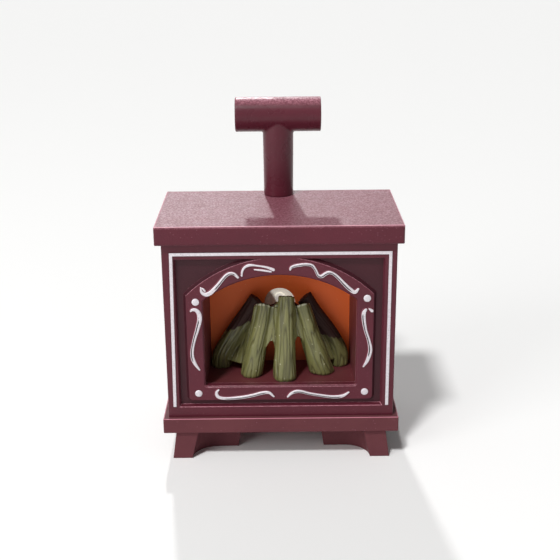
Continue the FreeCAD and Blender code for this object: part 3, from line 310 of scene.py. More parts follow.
def moulded_plastic(name, deep, pale, fleck, roughness, fleck_share=0.45, grain=0.012, sheen=0.0,
                    soft_join=0.2, top_light_share=0.0, wear_and_highlight=0.0, mirror=0.3):
    """A moulded plastic. Grain is the height of its skin's grain and soft_join the radius at its edges,
    in millimetres. top_light_share says how much painted light its upward faces get, wear_and_highlight
    how pale its upward edges are, rubbed and painted as highlight, and mirror how strongly it reflects."""
    material, tree, shader, place = new_material(name)
    grains = add(tree, "ShaderNodeTexNoise", {"Vector": place, "Scale": 1 / SPECKLE_WIDTH, "Detail": 1.0})
    join = add(tree, "ShaderNodeBevel", {"Radius": soft_join * MM}, samples=6)
    tone = pearly(tree, place, deep, pale, fleck, fleck_share)
    if top_light_share:
        tone, spark = painted_top_light(tree, tone, grains.outputs["Fac"], top_light_share)
        tree.links.new(spark, shader.inputs["Coat Weight"])
        shader.inputs["Coat Roughness"].default_value = GLINT_ROUGHNESS
    if wear_and_highlight:
        tone = rubbed_and_highlit_edges(tree, tone, grains.outputs["Fac"], join.outputs[0], wear_and_highlight)
    tree.links.new(tone, shader.inputs["Base Color"])
    waves = add(tree, "ShaderNodeTexNoise", {"Vector": place, "Scale": 1 / WAVE_LENGTH, "Detail": 1.0})
    matt = add(tree, "ShaderNodeMapRange", {"Value": waves.outputs["Fac"], "To Min": roughness - GLOSSIER,
                                            "To Max": roughness + DULLER})
    tree.links.new(matt.outputs[0], shader.inputs["Roughness"])
    fine = add(tree, "ShaderNodeTexNoise", {"Vector": place, "Scale": 1 / GRAIN_WIDTH, "Detail": 2.0})
    skin = add(tree, "ShaderNodeBump", {"Height": fine.outputs["Fac"], "Distance": grain * MM,
                                        "Strength": 1.0, "Normal": join.outputs[0]})
    flow = add(tree, "ShaderNodeBump", {"Height": waves.outputs["Fac"], "Distance": WAVE_HEIGHT,
                                        "Strength": 0.5, "Normal": skin.outputs[0]})
    tree.links.new(flow.outputs[0], shader.inputs["Normal"])
    shader.inputs["IOR"].default_value = PLASTIC_IOR
    shader.inputs["Specular IOR Level"].default_value = mirror
    shader.inputs["Sheen Weight"].default_value = sheen
    shader.inputs["Sheen Roughness"].default_value = SHEEN_ROUGHNESS
    shader.inputs["Sheen Tint"].default_value = colour(SHEEN_COLOUR)
    return material


print("skin grain every", GRAIN_WIDTH / MM, "mm, waves every", WAVE_LENGTH / MM, "mm")

# %% [markdown]
# ## The toy's plastics
# One maroon polystyrene makes the casing. Each moulding gets its own gloss and wear, and its own painted
# light and shade. Its upward edges are nearly pink, rubbed by hands and painted as highlight. The small
# parts inside are plain black plastic, as in most battery toys.

# %% Maroon mouldings and the small black parts
MAROON = {"deep": "4A1824", "pale": "5E202E", "fleck": "94606E", "fleck_share": 0.3}

# Polystyrene, injection moulded: a satin skin with a soft highlight, flecks, and pale edges, rubbed and
# painted as highlight.
maroon = moulded_plastic("maroon_polystyrene", **MAROON, roughness=0.33, grain=0.03, sheen=0.2,
                         soft_join=0.4, wear_and_highlight=1.0)
# The same from a textured part of the mould: a duller field, painted darker as the shade in the sunk field,
# that sets off the arched frame.
maroon_field_shaded = moulded_plastic("maroon_polystyrene_matt_field_painted_shade", "34121C", "42171F", "5E3640", roughness=0.5,
                               fleck_share=0.3, grain=0.05)
# The same, polished by hands: a narrow highlight along the pipe, and painted light on its top.
maroon_pipe = moulded_plastic("maroon_polystyrene_pipe", **MAROON, roughness=0.28, grain=0.03, sheen=0.2,
                              soft_join=0.7, top_light_share=1.1)
# The same, scuffed: a broad grey-pink sheen from above, partly painted into its top's colour in grains, with
# glints.
maroon_plate = moulded_plastic("maroon_polystyrene_plate", **MAROON, roughness=0.46, grain=0.12, sheen=0.3,
                               soft_join=1.2, top_light_share=0.43, wear_and_highlight=0.55)
# The same, with a grey painted reflection of the pale floor in its colour: hardly any real reflection, so its
# ledges stay dark.
maroon_base = moulded_plastic("maroon_polystyrene_base", "5A3238", "6E4044", MAROON["fleck"], roughness=0.5,
                              fleck_share=0.3, grain=0.03, soft_join=0.35, wear_and_highlight=0.9, mirror=0.05)
# The same, thin and raised: a maroon rim beside each silver scroll, painted lighter as its highlight.
maroon_scroll_highlit = moulded_plastic("maroon_polystyrene_scroll_relief_highlit", "662A38", "7E3A48", MAROON["fleck"],
                                roughness=0.3, fleck_share=0.3)
# Its upward edges: a thin pink line, partly where the pigment has worn off and partly a painted highlight.
maroon_rubbed_highlit = moulded_plastic("maroon_polystyrene_rubbed_highlit_edge", "B8667A", "DC96A6", "E4CCD2", roughness=0.3)
# The same on the top plate, where hands rub most and the painted highlight is brightest: paler still.
plate_rubbed_highlit = moulded_plastic("maroon_polystyrene_rubbed_highlit_plate_edge", "DC94A6", "FAC8D4", "FCE4EA",
                               roughness=0.3)
# The firebox, moulded without polish: duller than the outside, and painted lighter and browner, as light
# inside the shaded box.
firebox_maroon = moulded_plastic("maroon_polystyrene_inside", "57272C", "6A3236", "A07A80", roughness=0.42,
                                 fleck_share=0.3)
# ABS, moulded black: a dull, plain dark grey for the parts that nobody looks at.
black = moulded_plastic("black_abs", "141414", "1C1C1D", "3A3A3C", roughness=0.5, fleck_share=0.1)
print("plastics:", [made.name for made in (maroon, maroon_field_shaded, maroon_pipe, maroon_plate, maroon_base,
                                           maroon_scroll_highlit, maroon_rubbed_highlit, plate_rubbed_highlit, firebox_maroon, black)])

# %% [markdown]
# ## The orange panel
# The panel behind the logs is thin polypropylene. It gets a weak painted glow of its own, brightest at its
# right and high up, which grows along X and Z. Light sent through a thin wall would take long to render
# smoothly, so the glow is painted. Its foot is painted darker, as the shade behind the logs.

# %% Orange panel with a painted glow and painted shade at its foot
# From where to where on the toy the painted glow grows, and how strong it is at both ends.
LIGHT_ACROSS, LIGHT_SHARE = (-22 * MM, 24 * MM), (0.02, 0.18)
LIGHT_UP, LIGHT_GAIN = (24 * MM, 50 * MM), (0.15, 1.1)
# How high the painted shade at the panel's foot reaches, how strong it gets, and its colour.
FOOT_SHADE_HEIGHT, FOOT_SHADE_SHARE, FOOT_SHADE_COLOUR = (33 * MM, 25 * MM), 0.8, "4A1E1C"


def painted_glow_and_foot_shade(material):
    """Adds a painted glow to a plain plastic, and painted shade at its foot."""
    tree = material.node_tree
    shader = tree.nodes["Principled BSDF"]
    place = add(tree, "ShaderNodeSeparateXYZ", {0: add(tree, "ShaderNodeTexCoord").outputs["Object"]})
    across = add(tree, "ShaderNodeMapRange", {
        "Value": place.outputs["X"], "From Min": LIGHT_ACROSS[0], "From Max": LIGHT_ACROSS[1],
        "To Min": LIGHT_SHARE[0], "To Max": LIGHT_SHARE[1]})
    upward = add(tree, "ShaderNodeMapRange", {
        "Value": place.outputs["Z"], "From Min": LIGHT_UP[0], "From Max": LIGHT_UP[1],
        "To Min": LIGHT_GAIN[0], "To Max": LIGHT_GAIN[1]})
    painted_glow = add(tree, "ShaderNodeMath", {0: across.outputs[0], 1: upward.outputs[0]}, operation="MULTIPLY")
    tree.links.new(painted_glow.outputs[0], shader.inputs["Emission Strength"])
    shader.inputs["Emission Color"].default_value = colour("D85E2A")
    plain = shader.inputs["Base Color"].links[0].from_socket
    foot = add(tree, "ShaderNodeMapRange", {"Value": place.outputs["Z"], "From Min": FOOT_SHADE_HEIGHT[0],
                                            "From Max": FOOT_SHADE_HEIGHT[1], "To Max": FOOT_SHADE_SHARE})
    foot_shaded = add(tree, "ShaderNodeMix", {0: foot.outputs[0], 6: plain, 7: colour(FOOT_SHADE_COLOUR)},
                data_type="RGBA")
    tree.links.new(foot_shaded.outputs[2], shader.inputs["Base Color"])


# Polypropylene, moulded thin: a soft, even orange that seems to glow like embers.
orange = moulded_plastic("orange_polypropylene", "D85C24", "E46C32", "E89A64", roughness=0.5,
                         fleck_share=0.1, grain=0.006)
painted_glow_and_foot_shade(orange)
print("panel lit from", LIGHT_SHARE[0] * LIGHT_GAIN[0], "to", round(LIGHT_SHARE[1] * LIGHT_GAIN[1], 3))

# %% [markdown]
# ## Silver foil paint
# The lines and scrolls are silver paint stamped on raised relief. It is thin, so it is a little uneven,
# with small bare specks and soft streaks. A full metal would go dark wherever the room is dark, but
# this paint is bright from every side, so it is only partly metallic. The strokes carry a value named
# bare in their grooves, and there the plastic shows, painted darker as shade.

# %% Silver paint
# The streaks are as wide as half a stroke. The missed specks are drawn a little coarser than life.
STREAK_WIDTH, STREAK_HEIGHT, SPECK_WIDTH, SPECK_LEVEL = 0.5 * MM, 0.03 * MM, 0.32 * MM, (0.69, 0.73)


def silver_paint():
    """Satin silver with streaks and a few specks where the stamp missed."""
    material, tree, shader, place = new_material("silver_stamping_paint")
    streaks = add(tree, "ShaderNodeTexNoise", {"Vector": place, "Scale": 1 / STREAK_WIDTH, "Detail": 3.0})
    body = add(tree, "ShaderNodeMix", {0: streaks.outputs["Fac"], 6: colour("C2B9C0"), 7: colour("EAE6EA")},
               data_type="RGBA")
    specks = add(tree, "ShaderNodeTexNoise", {"Vector": place, "Scale": 1 / SPECK_WIDTH, "Detail": 2.0})
    missed = add(tree, "ShaderNodeMapRange", {"Value": specks.outputs["Fac"], "From Min": SPECK_LEVEL[0],
                                              "From Max": SPECK_LEVEL[1]})
    worn = add(tree, "ShaderNodeMix", {0: missed.outputs[0], 6: body.outputs[2], 7: colour("5A3A42")},
               data_type="RGBA")
    groove = add(tree, "ShaderNodeAttribute", attribute_name="bare").outputs["Fac"]
    # In the groove the bare plastic is painted nearly black, as its shade.
    split = add(tree, "ShaderNodeMix", {0: groove, 6: worn.outputs[2], 7: colour("1C0C10")},
                data_type="RGBA")
    tree.links.new(split.outputs[2], shader.inputs["Base Color"])
    uneven = add(tree, "ShaderNodeBump", {"Height": streaks.outputs["Fac"], "Distance": STREAK_HEIGHT,
                                          "Strength": 0.6})
    tree.links.new(uneven.outputs[0], shader.inputs["Normal"])
    shader.inputs["Metallic"].default_value = 0.35
    shader.inputs["Roughness"].default_value = 0.42
    return material


# Aluminium paint, stamped: a bright, soft silver grey that stays light from every side.
silver = silver_paint()
print("silver streaks every", STREAK_WIDTH / MM, "mm")

# %% [markdown]
# ## Bare metals and the cells' sleeve
# Screws, contacts and springs are plated or drawn metal. One noise, stretched the way the metal was
# drawn or turned, moves the colour, the gloss and a faint bump together, as fine marks do.

# %% Small metal parts
# Real marks are hair fine. They are drawn as coarse as they need to be to show on a screw's head.
MARK_WIDTH, MARK_DEPTH, MARK_GLOSSIER, MARK_DULLER = 0.4 * MM, 0.01 * MM, 0.08, 0.12


def metal(name, deep, pale, roughness, stretch=(1.0, 1.0, 1.0)):
    """A bare metal whose fine marks run the way stretch draws them out."""
    material, tree, shader, place = new_material(name)
    drawn = add(tree, "ShaderNodeMapping", {"Vector": place, "Scale": stretch})
    marks = add(tree, "ShaderNodeTexNoise", {"Vector": drawn.outputs[0], "Scale": 1 / MARK_WIDTH,
                                             "Detail": 4.0})
    body = add(tree, "ShaderNodeMix", {0: marks.outputs["Fac"], 6: colour(deep), 7: colour(pale)},
               data_type="RGBA")
    tree.links.new(body.outputs[2], shader.inputs["Base Color"])
    matt = add(tree, "ShaderNodeMapRange", {"Value": marks.outputs["Fac"],
                                            "To Min": roughness - MARK_GLOSSIER,
                                            "To Max": roughness + MARK_DULLER})
    tree.links.new(matt.outputs[0], shader.inputs["Roughness"])
    scratch = add(tree, "ShaderNodeBump", {"Height": marks.outputs["Fac"], "Distance": MARK_DEPTH,
                                           "Strength": 0.5})
    tree.links.new(scratch.outputs[0], shader.inputs["Normal"])
    shader.inputs["Metallic"].default_value = 1.0
    return material


# Zinc plate: a cloudy blue grey. Nickel plate: warmer and brighter, drawn out along the strip.
zinc = metal("zinc_plated_steel", "8E9092", "B8BABC", 0.34)
nickel = metal("nickel_plated_steel", "A8A69E", "C9C7C0", 0.28, (1.0, 1.0, 0.15))
# Drawn steel wire: a bright line along each turn. Turned brass: a warm yellow shine.
spring_wire = metal("drawn_steel_wire", "8A8B8D", "B4B5B7", 0.25)
brass = metal("turned_brass", "A07F3E", "C8A75C", 0.3)
# Printed foil round a cell: a plain dark metallic grey, drawn out along the cell.
cell_sleeve = metal("printed_cell_sleeve", "3A3E46", "4A4F58", 0.35, (0.1, 1.0, 1.0))
print("metals:", [made.name for made in (zinc, nickel, spring_wire, brass, cell_sleeve)])

# %% [markdown]
# ## The lamp and its cup
# The bulb is a small frosted dome with a little painted glow of its own. Round it sits a white plastic
# cup, also with a little painted glow, and with painted shade on its left side behind a soft slanting
# edge. A slope and a start are enough to place that edge, and clouds of noise keep it from being
# straight.

# %% Frosted glass and the cup with its painted shade
MILK_WIDTH, GLASS_PAINTED_GLOW = 1.5 * MM, 0.35
CLOUD_WIDTH, CLOUD_REACH, CUP_PAINTED_GLOW = 1.2 * MM, 0.9 * MM, 0.32
# The edge of the painted shade leans by this much X for each Z, and where it starts and how soft it is.
SHADE_SLOPE, SHADE_START, SHADE_EDGE = 0.47, -19.4 * MM, 1.0 * MM


def frosted_glass():
    """Frosted bulb glass, pale and slightly milky, with a painted glow."""
    material, tree, shader, place = new_material("frosted_bulb_glass")
    milk = add(tree, "ShaderNodeTexNoise", {"Vector": place, "Scale": 1 / MILK_WIDTH, "Detail": 2.0})
    body = add(tree, "ShaderNodeMix", {0: milk.outputs["Fac"], 6: colour("ECEAE4"), 7: colour("F2F0EA")},
               data_type="RGBA")
    tree.links.new(body.outputs[2], shader.inputs["Base Color"])
    tree.links.new(body.outputs[2], shader.inputs["Emission Color"])
    shader.inputs["Emission Strength"].default_value = GLASS_PAINTED_GLOW
    shader.inputs["Roughness"].default_value = 0.6
    return material


def shaded_cup():
    """White plastic with a little painted glow, and painted shade on its left side."""
    material, tree, shader, place = new_material("white_reflector_with_painted_shade")
    spread = add(tree, "ShaderNodeSeparateXYZ", {0: place})
    slope = add(tree, "ShaderNodeMath", {0: spread.outputs["Z"], 1: SHADE_SLOPE, 2: SHADE_START},
                operation="MULTIPLY_ADD")
    side = add(tree, "ShaderNodeMath", {0: spread.outputs["X"], 1: slope.outputs[0]}, operation="ADD")
    clouds = add(tree, "ShaderNodeTexNoise", {"Vector": place, "Scale": 1 / CLOUD_WIDTH, "Detail": 3.0})
    ragged = add(tree, "ShaderNodeMath", {0: clouds.outputs["Fac"], 1: CLOUD_REACH, 2: side.outputs[0]},
                 operation="MULTIPLY_ADD")
    unshaded = add(tree, "ShaderNodeMapRange", {"Value": ragged.outputs[0], "From Max": SHADE_EDGE})
    shade_tone = add(tree, "ShaderNodeMix", {0: clouds.outputs["Fac"], 6: colour("2E201A"), 7: colour("785646")},
                data_type="RGBA")
    body = add(tree, "ShaderNodeMix", {0: unshaded.outputs[0], 6: shade_tone.outputs[2], 7: colour("F3EFE4")},
               data_type="RGBA")
    tree.links.new(body.outputs[2], shader.inputs["Base Color"])
    tree.links.new(body.outputs[2], shader.inputs["Emission Color"])
    shader.inputs["Emission Strength"].default_value = CUP_PAINTED_GLOW
    shader.inputs["Roughness"].default_value = 0.35
    return material


# Frosted glass: an even, milky white without a sharp highlight.
glass = frosted_glass()
# White polystyrene: bright at the right, with brown painted shade at the left.
cup = shaded_cup()
print("shaded edge leans", round(math.degrees(math.atan(SHADE_SLOPE))), "degrees")

# %% [markdown]
# ## Sleeves of the leads
# The three leads inside have a plain soft vinyl sleeve, dull and a little dimpled, in black and red. It
# is moulded round the wire, so the moulded plastic serves here too, without flecks.

# %% Vinyl sleeves
# Soft vinyl: a dull skin that shows its colour and little else.
black_vinyl = moulded_plastic("black_vinyl_sleeve", "161616", "202021", "2C2C2E", roughness=0.55,
                              fleck_share=0.0)
red_vinyl = moulded_plastic("red_vinyl_sleeve", "8E1B18", "A3231E", "B5453F", roughness=0.55,
                            fleck_share=0.0)
print("sleeves:", black_vinyl.name, red_vinyl.name)

# %% [markdown]
# ## Brushed olive paint over brown plastic
# The log paint is a thick olive gloss. It pools in the furrows and goes dark there, thins to a paler
# yellow green on the ridges, and where the brush didn't reach, the brown plastic shows. Pale dabs on the
# ridges are painted glints, and the rims of two logs get a painted highlight. A noise alone wouldn't know
# where the carved furrows run, so three values on the points of the logs steer the paint: how high the
# bark is, how painted it is and where a rim gets its painted highlight.

# %% Paint for the logs
# How much less often the brush marks change along Z than across it, and their width. The hairs' marks
# are drawn coarser than life, as they need to be to show.
BRUSH_RUN, BRUSH_WIDTH, HAIR_WIDTH, HAIR_HEIGHT = 0.22, 1.1 * MM, 0.35 * MM, 0.05 * MM
# Between which bark heights the furrows' dark paint gives way to the ridges'.
FURROW_LEVEL = (0.15, 0.95)
# Pale dabs on the ridges, painted as glints: their spacing, their size, and the share of cells without one.
GLINT_DAB_SPACING, GLINT_DAB_SIZE, GLINT_DAB_SHARE = 1.3 * MM, (0.10, 0.2), 0.78
BARE_ROUGHNESS, PAINT_ROUGHNESS, FILM_STRENGTH, FILM_ROUGHNESS = 0.7, 0.34, 0.35, 0.2


def log_paint():
    """Olive gloss over dark brown plastic, from the points' bark, paint and rim values."""
    material, tree, shader, place = new_material("olive_gloss_paint_on_brown")
    bark, paint, rim = (add(tree, "ShaderNodeAttribute", attribute_name=name).outputs["Fac"]
                        for name in ("bark", "paint", "rim"))
    brush = add(tree, "ShaderNodeMapping", {"Vector": place, "Scale": (1.0, 1.0, BRUSH_RUN)}).outputs[0]
    streaks = add(tree, "ShaderNodeTexNoise", {"Vector": brush, "Scale": 1 / BRUSH_WIDTH, "Detail": 3.0})
    greens = add(tree, "ShaderNodeMix", {0: streaks.outputs["Fac"], 6: colour("686A40"), 7: colour("7C784A")},
                 data_type="RGBA")
    height = add(tree, "ShaderNodeMapRange", {"Value": bark, "From Min": FURROW_LEVEL[0],
                                              "From Max": FURROW_LEVEL[1]})
    olive = add(tree, "ShaderNodeMix", {0: height.outputs[0], 6: colour("525030"), 7: greens.outputs[2]},
                data_type="RGBA")
    glint_dabs = add(tree, "ShaderNodeTexVoronoi", {"Vector": place, "Scale": 1 / GLINT_DAB_SPACING})
    glint_dab = add(tree, "ShaderNodeMapRange", {"Value": glint_dabs.outputs["Distance"], "From Min": GLINT_DAB_SIZE[0],
                                           "From Max": GLINT_DAB_SIZE[1], "To Min": 1.0, "To Max": 0.0})
    some = add(tree, "ShaderNodeSeparateColor", {0: glint_dabs.outputs["Color"]})
    rare = add(tree, "ShaderNodeMath", {0: some.outputs[0], 1: GLINT_DAB_SHARE}, operation="GREATER_THAN")
    painted_glint = add(tree, "ShaderNodeMath", {0: glint_dab.outputs[0], 1: rare.outputs[0]}, operation="MULTIPLY")
    highlit_ridge = add(tree, "ShaderNodeMath", {0: painted_glint.outputs[0], 1: bark}, operation="MULTIPLY")
    pale = add(tree, "ShaderNodeMix", {0: highlit_ridge.outputs[0], 6: olive.outputs[2], 7: colour("B9B79A")},
               data_type="RGBA")
    # The rims of two logs get a painted highlight, nearly white.
    paled = add(tree, "ShaderNodeMix", {0: rim, 6: pale.outputs[2], 7: colour("C6C4AC")}, data_type="RGBA")
    coat = add(tree, "ShaderNodeMix", {0: paint, 6: colour("38201C"), 7: paled.outputs[2]},
               data_type="RGBA")
    tree.links.new(coat.outputs[2], shader.inputs["Base Color"])
    gloss = add(tree, "ShaderNodeMix", {0: paint, 2: BARE_ROUGHNESS, 3: PAINT_ROUGHNESS})
    tree.links.new(gloss.outputs[0], shader.inputs["Roughness"])
    hairs = add(tree, "ShaderNodeTexNoise", {"Vector": brush, "Scale": 1 / HAIR_WIDTH, "Detail": 3.0})
    brushed = add(tree, "ShaderNodeBump", {"Height": hairs.outputs["Fac"], "Distance": HAIR_HEIGHT,
                                           "Strength": 0.6})
    tree.links.new(brushed.outputs[0], shader.inputs["Normal"])
    film = add(tree, "ShaderNodeMath", {0: paint, 1: FILM_STRENGTH}, operation="MULTIPLY")
    tree.links.new(film.outputs[0], shader.inputs["Coat Weight"])
    shader.inputs["Coat Roughness"].default_value = FILM_ROUGHNESS
    shader.inputs["Specular IOR Level"].default_value = 0.35
    return material


# Gloss enamel over matt plastic: streaky olive that shines wet on the ridges, with painted glints there, and
# dull brown where bare.
painted_log = log_paint()
print("log paint streaks every", BRUSH_WIDTH / MM, "mm")

# %% [markdown]
# ## Softened mouldings
# No moulded edge is truly sharp: the mould's own corners are rounded by a tenth of a millimetre or two,
# and handling rubs the ones that look up. A shader could fake this, but the outline would stay sharp. So
# a copy of each CAD moulding is merged, its flat faces are joined, and a bevel rounds its edges, whose
# faces take a second, paler material, for the rubbing and a painted highlight. Weighted normals keep the
# flat faces flat beside the bevel. The front's sunk field takes a third material, matt and painted darker as
# shade.

# %% Helpers for pieces that stand for CAD nodes
def body_of(node):
    """The body that a CAD node rides on."""
    bodies = frame["record"]["behaviour"]["bodies"]
    return next(name for name, members in bodies.items() if node in members)


def slot_of(node):
    """The record's material slot of a CAD node."""
    return next(part["material_slot"] for part in frame["record"]["subparts"] if part["node"] == node)


def new_piece(name, mesh, *materials):
    """A mesh as an object in the scene, with its materials."""
    piece = bpy.data.objects.new(name, mesh)
    bpy.context.scene.collection.objects.link(piece)
    for material in materials:
        piece.data.materials.append(material)
    return piece


def made_plain(piece):
    """The piece with its modifiers turned to plain mesh."""
    bpy.context.view_layer.update()
    shape = bpy.data.meshes.new_from_object(piece.evaluated_get(bpy.context.evaluated_depsgraph_get()))
    piece.modifiers.clear()
    piece.data = shape
    return piece


def stands_for(piece, *nodes):
    """The piece rides on the body of the CAD nodes that it takes the place of, and hides them."""
    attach(piece, body_of(nodes[0]))
    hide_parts(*nodes)
    return piece


print("the top plate rides on", body_of("top_plate"), "in slot", slot_of("top_plate"))

# %% [markdown]
# The CAD mesh is loose triangles. Merging its points and dissolving its flat edges gives clean faces
# that a bevel can work on. The field is found by its place between the frame and the border: faces that
# look forward there, and the frame's own sides.

# %% Merge a moulding and find its sunk field
FLAT_ANGLE, MERGE_DISTANCE = math.radians(0.6), 0.002 * MM
PLAIN_SLOT, RUBBED_HIGHLIT_SLOT, MATT_SHADED_SLOT = 0, 1, 2
# Where the sunk field of the front lies, in millimetres, and how far a forward face's normal points.
FIELD_FRONT, FIELD_BACK, FIELD_HALF = -19.95, -18.4, 30.6
FIELD_LOW, FIELD_MIDDLE, FIELD_HIGH, FORWARD = 17.5, 42.0, 70.0, -0.9


def sunk(face):
    """Whether a face of the front is the sunk field or the side of the arched frame around it."""
    middle, way = face.calc_center_median() / MM, face.normal
    deep = FIELD_FRONT < middle.y < FIELD_BACK
    if not (deep and abs(middle.x) < FIELD_HALF and FIELD_LOW < middle.z < FIELD_HIGH):
        return False
    outward = way.x * middle.x + way.z * (middle.z - FIELD_MIDDLE) > 0
    return way.y < FORWARD or outward


def merged(node, with_field):
    """A CAD moulding as a mesh of large faces, each with the slot of its material."""
    shape = bmesh.new()
    shape.from_mesh(frame["nodes"][node].data)
    bmesh.ops.remove_doubles(shape, verts=shape.verts, dist=MERGE_DISTANCE)
    bmesh.ops.dissolve_limit(shape, angle_limit=FLAT_ANGLE, verts=shape.verts, edges=shape.edges)
    shape.verts.index_update()
    points = [vertex.co.copy() for vertex in shape.verts]
    faces = [[vertex.index for vertex in face.verts] for face in shape.faces]
    slots = [MATT_SHADED_SLOT if with_field and sunk(face) else PLAIN_SLOT for face in shape.faces]
    shape.free()
    mesh = bpy.data.meshes.new(node + "_softened")
    mesh.from_pydata(points, [], faces)
    mesh.polygons.foreach_set("material_index", slots)
    mesh.shade_smooth()
    return mesh


print("faces closer than", round(math.degrees(FLAT_ANGLE), 2), "degrees are joined")

# %% [markdown]
# Only edges that look up are made pale: hands and cloths rub them, and they get a painted highlight of the
# light from above. The bevel marks all its faces, so the ones that look down or out go back to plain. The
# top plate and the base are already round along their top edges in the CAD model, so there the faces of
# that rounding are marked instead.

# %% Round the edges of the mouldings, rub them and paint their highlight
SHARP_ANGLE = math.radians(33)
# A bevelled face is rubbed and highlit where its normal rises above this, and a round edge's between these
# two.
RUBBED_HIGHLIT_RISE, ROUND_RUBBED_HIGHLIT = 0.25, (0.62, 0.985)
# Each moulding: the bevel's width in millimetres, the plain, the rubbed and highlit, and the field's material,
# whether the bevel gives way on narrow faces, and whether the round top edges are rubbed and highlit too.
MOULDINGS = {
    "top_plate": (0.3, maroon_plate, plate_rubbed_highlit, None, False, True),
    "front_fascia": (0.22, maroon, maroon_rubbed_highlit, maroon_field_shaded, True, False),
    "base_plinth": (0.25, maroon_base, maroon_rubbed_highlit, None, True, True),
    "body_shell": (0.15, maroon, maroon_rubbed_highlit, None, True, False),
    "back_cover": (0.12, maroon, maroon_rubbed_highlit, None, True, False),
    "battery_lid": (0.12, maroon, maroon_rubbed_highlit, None, True, False),
}


def softened(node, width, plain, paled, field, gives_way, round_edges):
    """A copy of a CAD moulding with rounded edges, rubbed and with a painted highlight where they look up."""
    materials = [plain, paled] + ([field] if field else [])
    piece = new_piece(node + "_softened", merged(node, field is not None), *materials)
    bevel = piece.modifiers.new("rounded edges", "BEVEL")
    bevel.width, bevel.segments, bevel.material = width * MM, 2, RUBBED_HIGHLIT_SLOT
    bevel.limit_method, bevel.angle_limit, bevel.use_clamp_overlap = "ANGLE", SHARP_ANGLE, gives_way
    flat = piece.modifiers.new("flat faces stay flat", "WEIGHTED_NORMAL")
    flat.mode, flat.weight, flat.keep_sharp = "FACE_AREA", 100, True
    made_plain(piece)
    for face in piece.data.polygons:
        if face.material_index == RUBBED_HIGHLIT_SLOT and face.normal.z < RUBBED_HIGHLIT_RISE:
            face.material_index = PLAIN_SLOT
        if round_edges and ROUND_RUBBED_HIGHLIT[0] < face.normal.z < ROUND_RUBBED_HIGHLIT[1]:
            face.material_index = RUBBED_HIGHLIT_SLOT
    rubbed_highlit_count = sum(face.material_index == RUBBED_HIGHLIT_SLOT for face in piece.data.polygons)
    print(node, "softened:", len(piece.data.polygons), "faces,", rubbed_highlit_count, "of them rubbed")
    return stands_for(piece, node)


for node, finish in MOULDINGS.items():
    softened(node, *finish)

# %% [markdown]
# ## The painted logs
# On the toy the five logs are one moulding: dark brown plastic, tied by webs between the logs, with
# bark furrows cut in the mould and olive paint brushed over the parts that a child sees. Each log is
# drawn here as a tapered stick, and the two far ones bow outwards. The webs are thin sheets, whose feet
# arch up between the near logs. They could be joined by booleans, but those leave hard seams, so a
# voxel remesh melts them into one skin. A little smoothing rounds the joins, and long noise along each
# log carves the furrows.

# %% The sizes of the logs
# Each log: its middle on the firebox floor, the middle of its top, the radius at both ends, how far up
# its length the paint reaches on its left and on its right, how far its top leans back and sideways,
# and how far the log bows out sideways a third of the way up.
LOGS = {
    "front": ((1.35, -12.43), (2.2, -9.02, 50.9), (3.75, 2.5), (1.2, 1.2), (17, 0), -0.1),
    "left": ((-9.4, -9.02), (-4.9, -7.23, 47.2), (3.6, 2.55), (1.2, 1.2), (30, 0), 0.0),
    "right": ((13.7, -6.93), (6.9, -7.03, 47.2), (4.1, 2.6), (1.2, 1.2), (30, 0), -0.2),
    # The far logs' dark part above the paint is partly bare brown plastic and partly painted shade under the
    # opening's head.
    "far_left": ((-19.3, -1.83), (-7.6, -1.33, 47.4), (2.9, 2.5), (0.55, 0.74), (4, 14), -2.3),
    "far_right": ((19.4, -1.63), (8.0, -1.23, 47.8), (2.6, 2.6), (0.50, 0.42), (4, -14), 2.7),
}
BOW_PEAK = 6.75
# Each web joins two logs between two shares of their length, and its foot arches up by a share.
WEBS = [("far_left", "left", 0.12, 0.93, 0.0), ("left", "front", 0.35, 0.965, 0.13),
        ("front", "right", 0.40, 0.965, 0.13), ("right", "far_right", 0.12, 0.93, 0.0)]
# Thin split branches beside the logs: foot, top and radius.
BRANCHES = [((-9.4, -8.4, 38.0), (-7.3, -7.6, 47.3), 0.75), ((-1.5, -9.6, 38.5), (-1.3, -8.8, 47.2), 0.85)]
hearth_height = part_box("log_pile")[0].z


def top_cut(foot, top, lean):
    """The way that a log's cut top faces: along the log, leaned back and then sideways."""
    axis = (Vector(top) - Vector(foot)).normalized()
    back, sideways = (math.radians(angle) for angle in lean)
    return Matrix.Rotation(sideways, 3, "Y") @ Matrix.Rotation(-back, 3, "X") @ axis


def bowed(share):
    """How much of a log's bow shows at a share of its length."""
    return BOW_PEAK * share * (1 - share) ** 2


print("logs stand on", round(hearth_height / MM, 2), "mm")

# %% [markdown]
# A stick is a stack of rings. Its lowest ring is a little smaller and the next one lies close above it,
# which rounds the foot. A web runs in strips from one log's middle line to the other's.

# %% Sticks and webs
LOG_SIDES, LOG_RINGS, BRANCH_SIDES, BRANCH_RINGS = 28, 12, 12, 2
FOOT_ROUND, FOOT_SHRINK = 0.03, 0.88
WEB_THICKNESS, WEB_SETBACK, WEB_STRIPS, ARCH_HALF = 2.6, 0.5, 40, 0.19


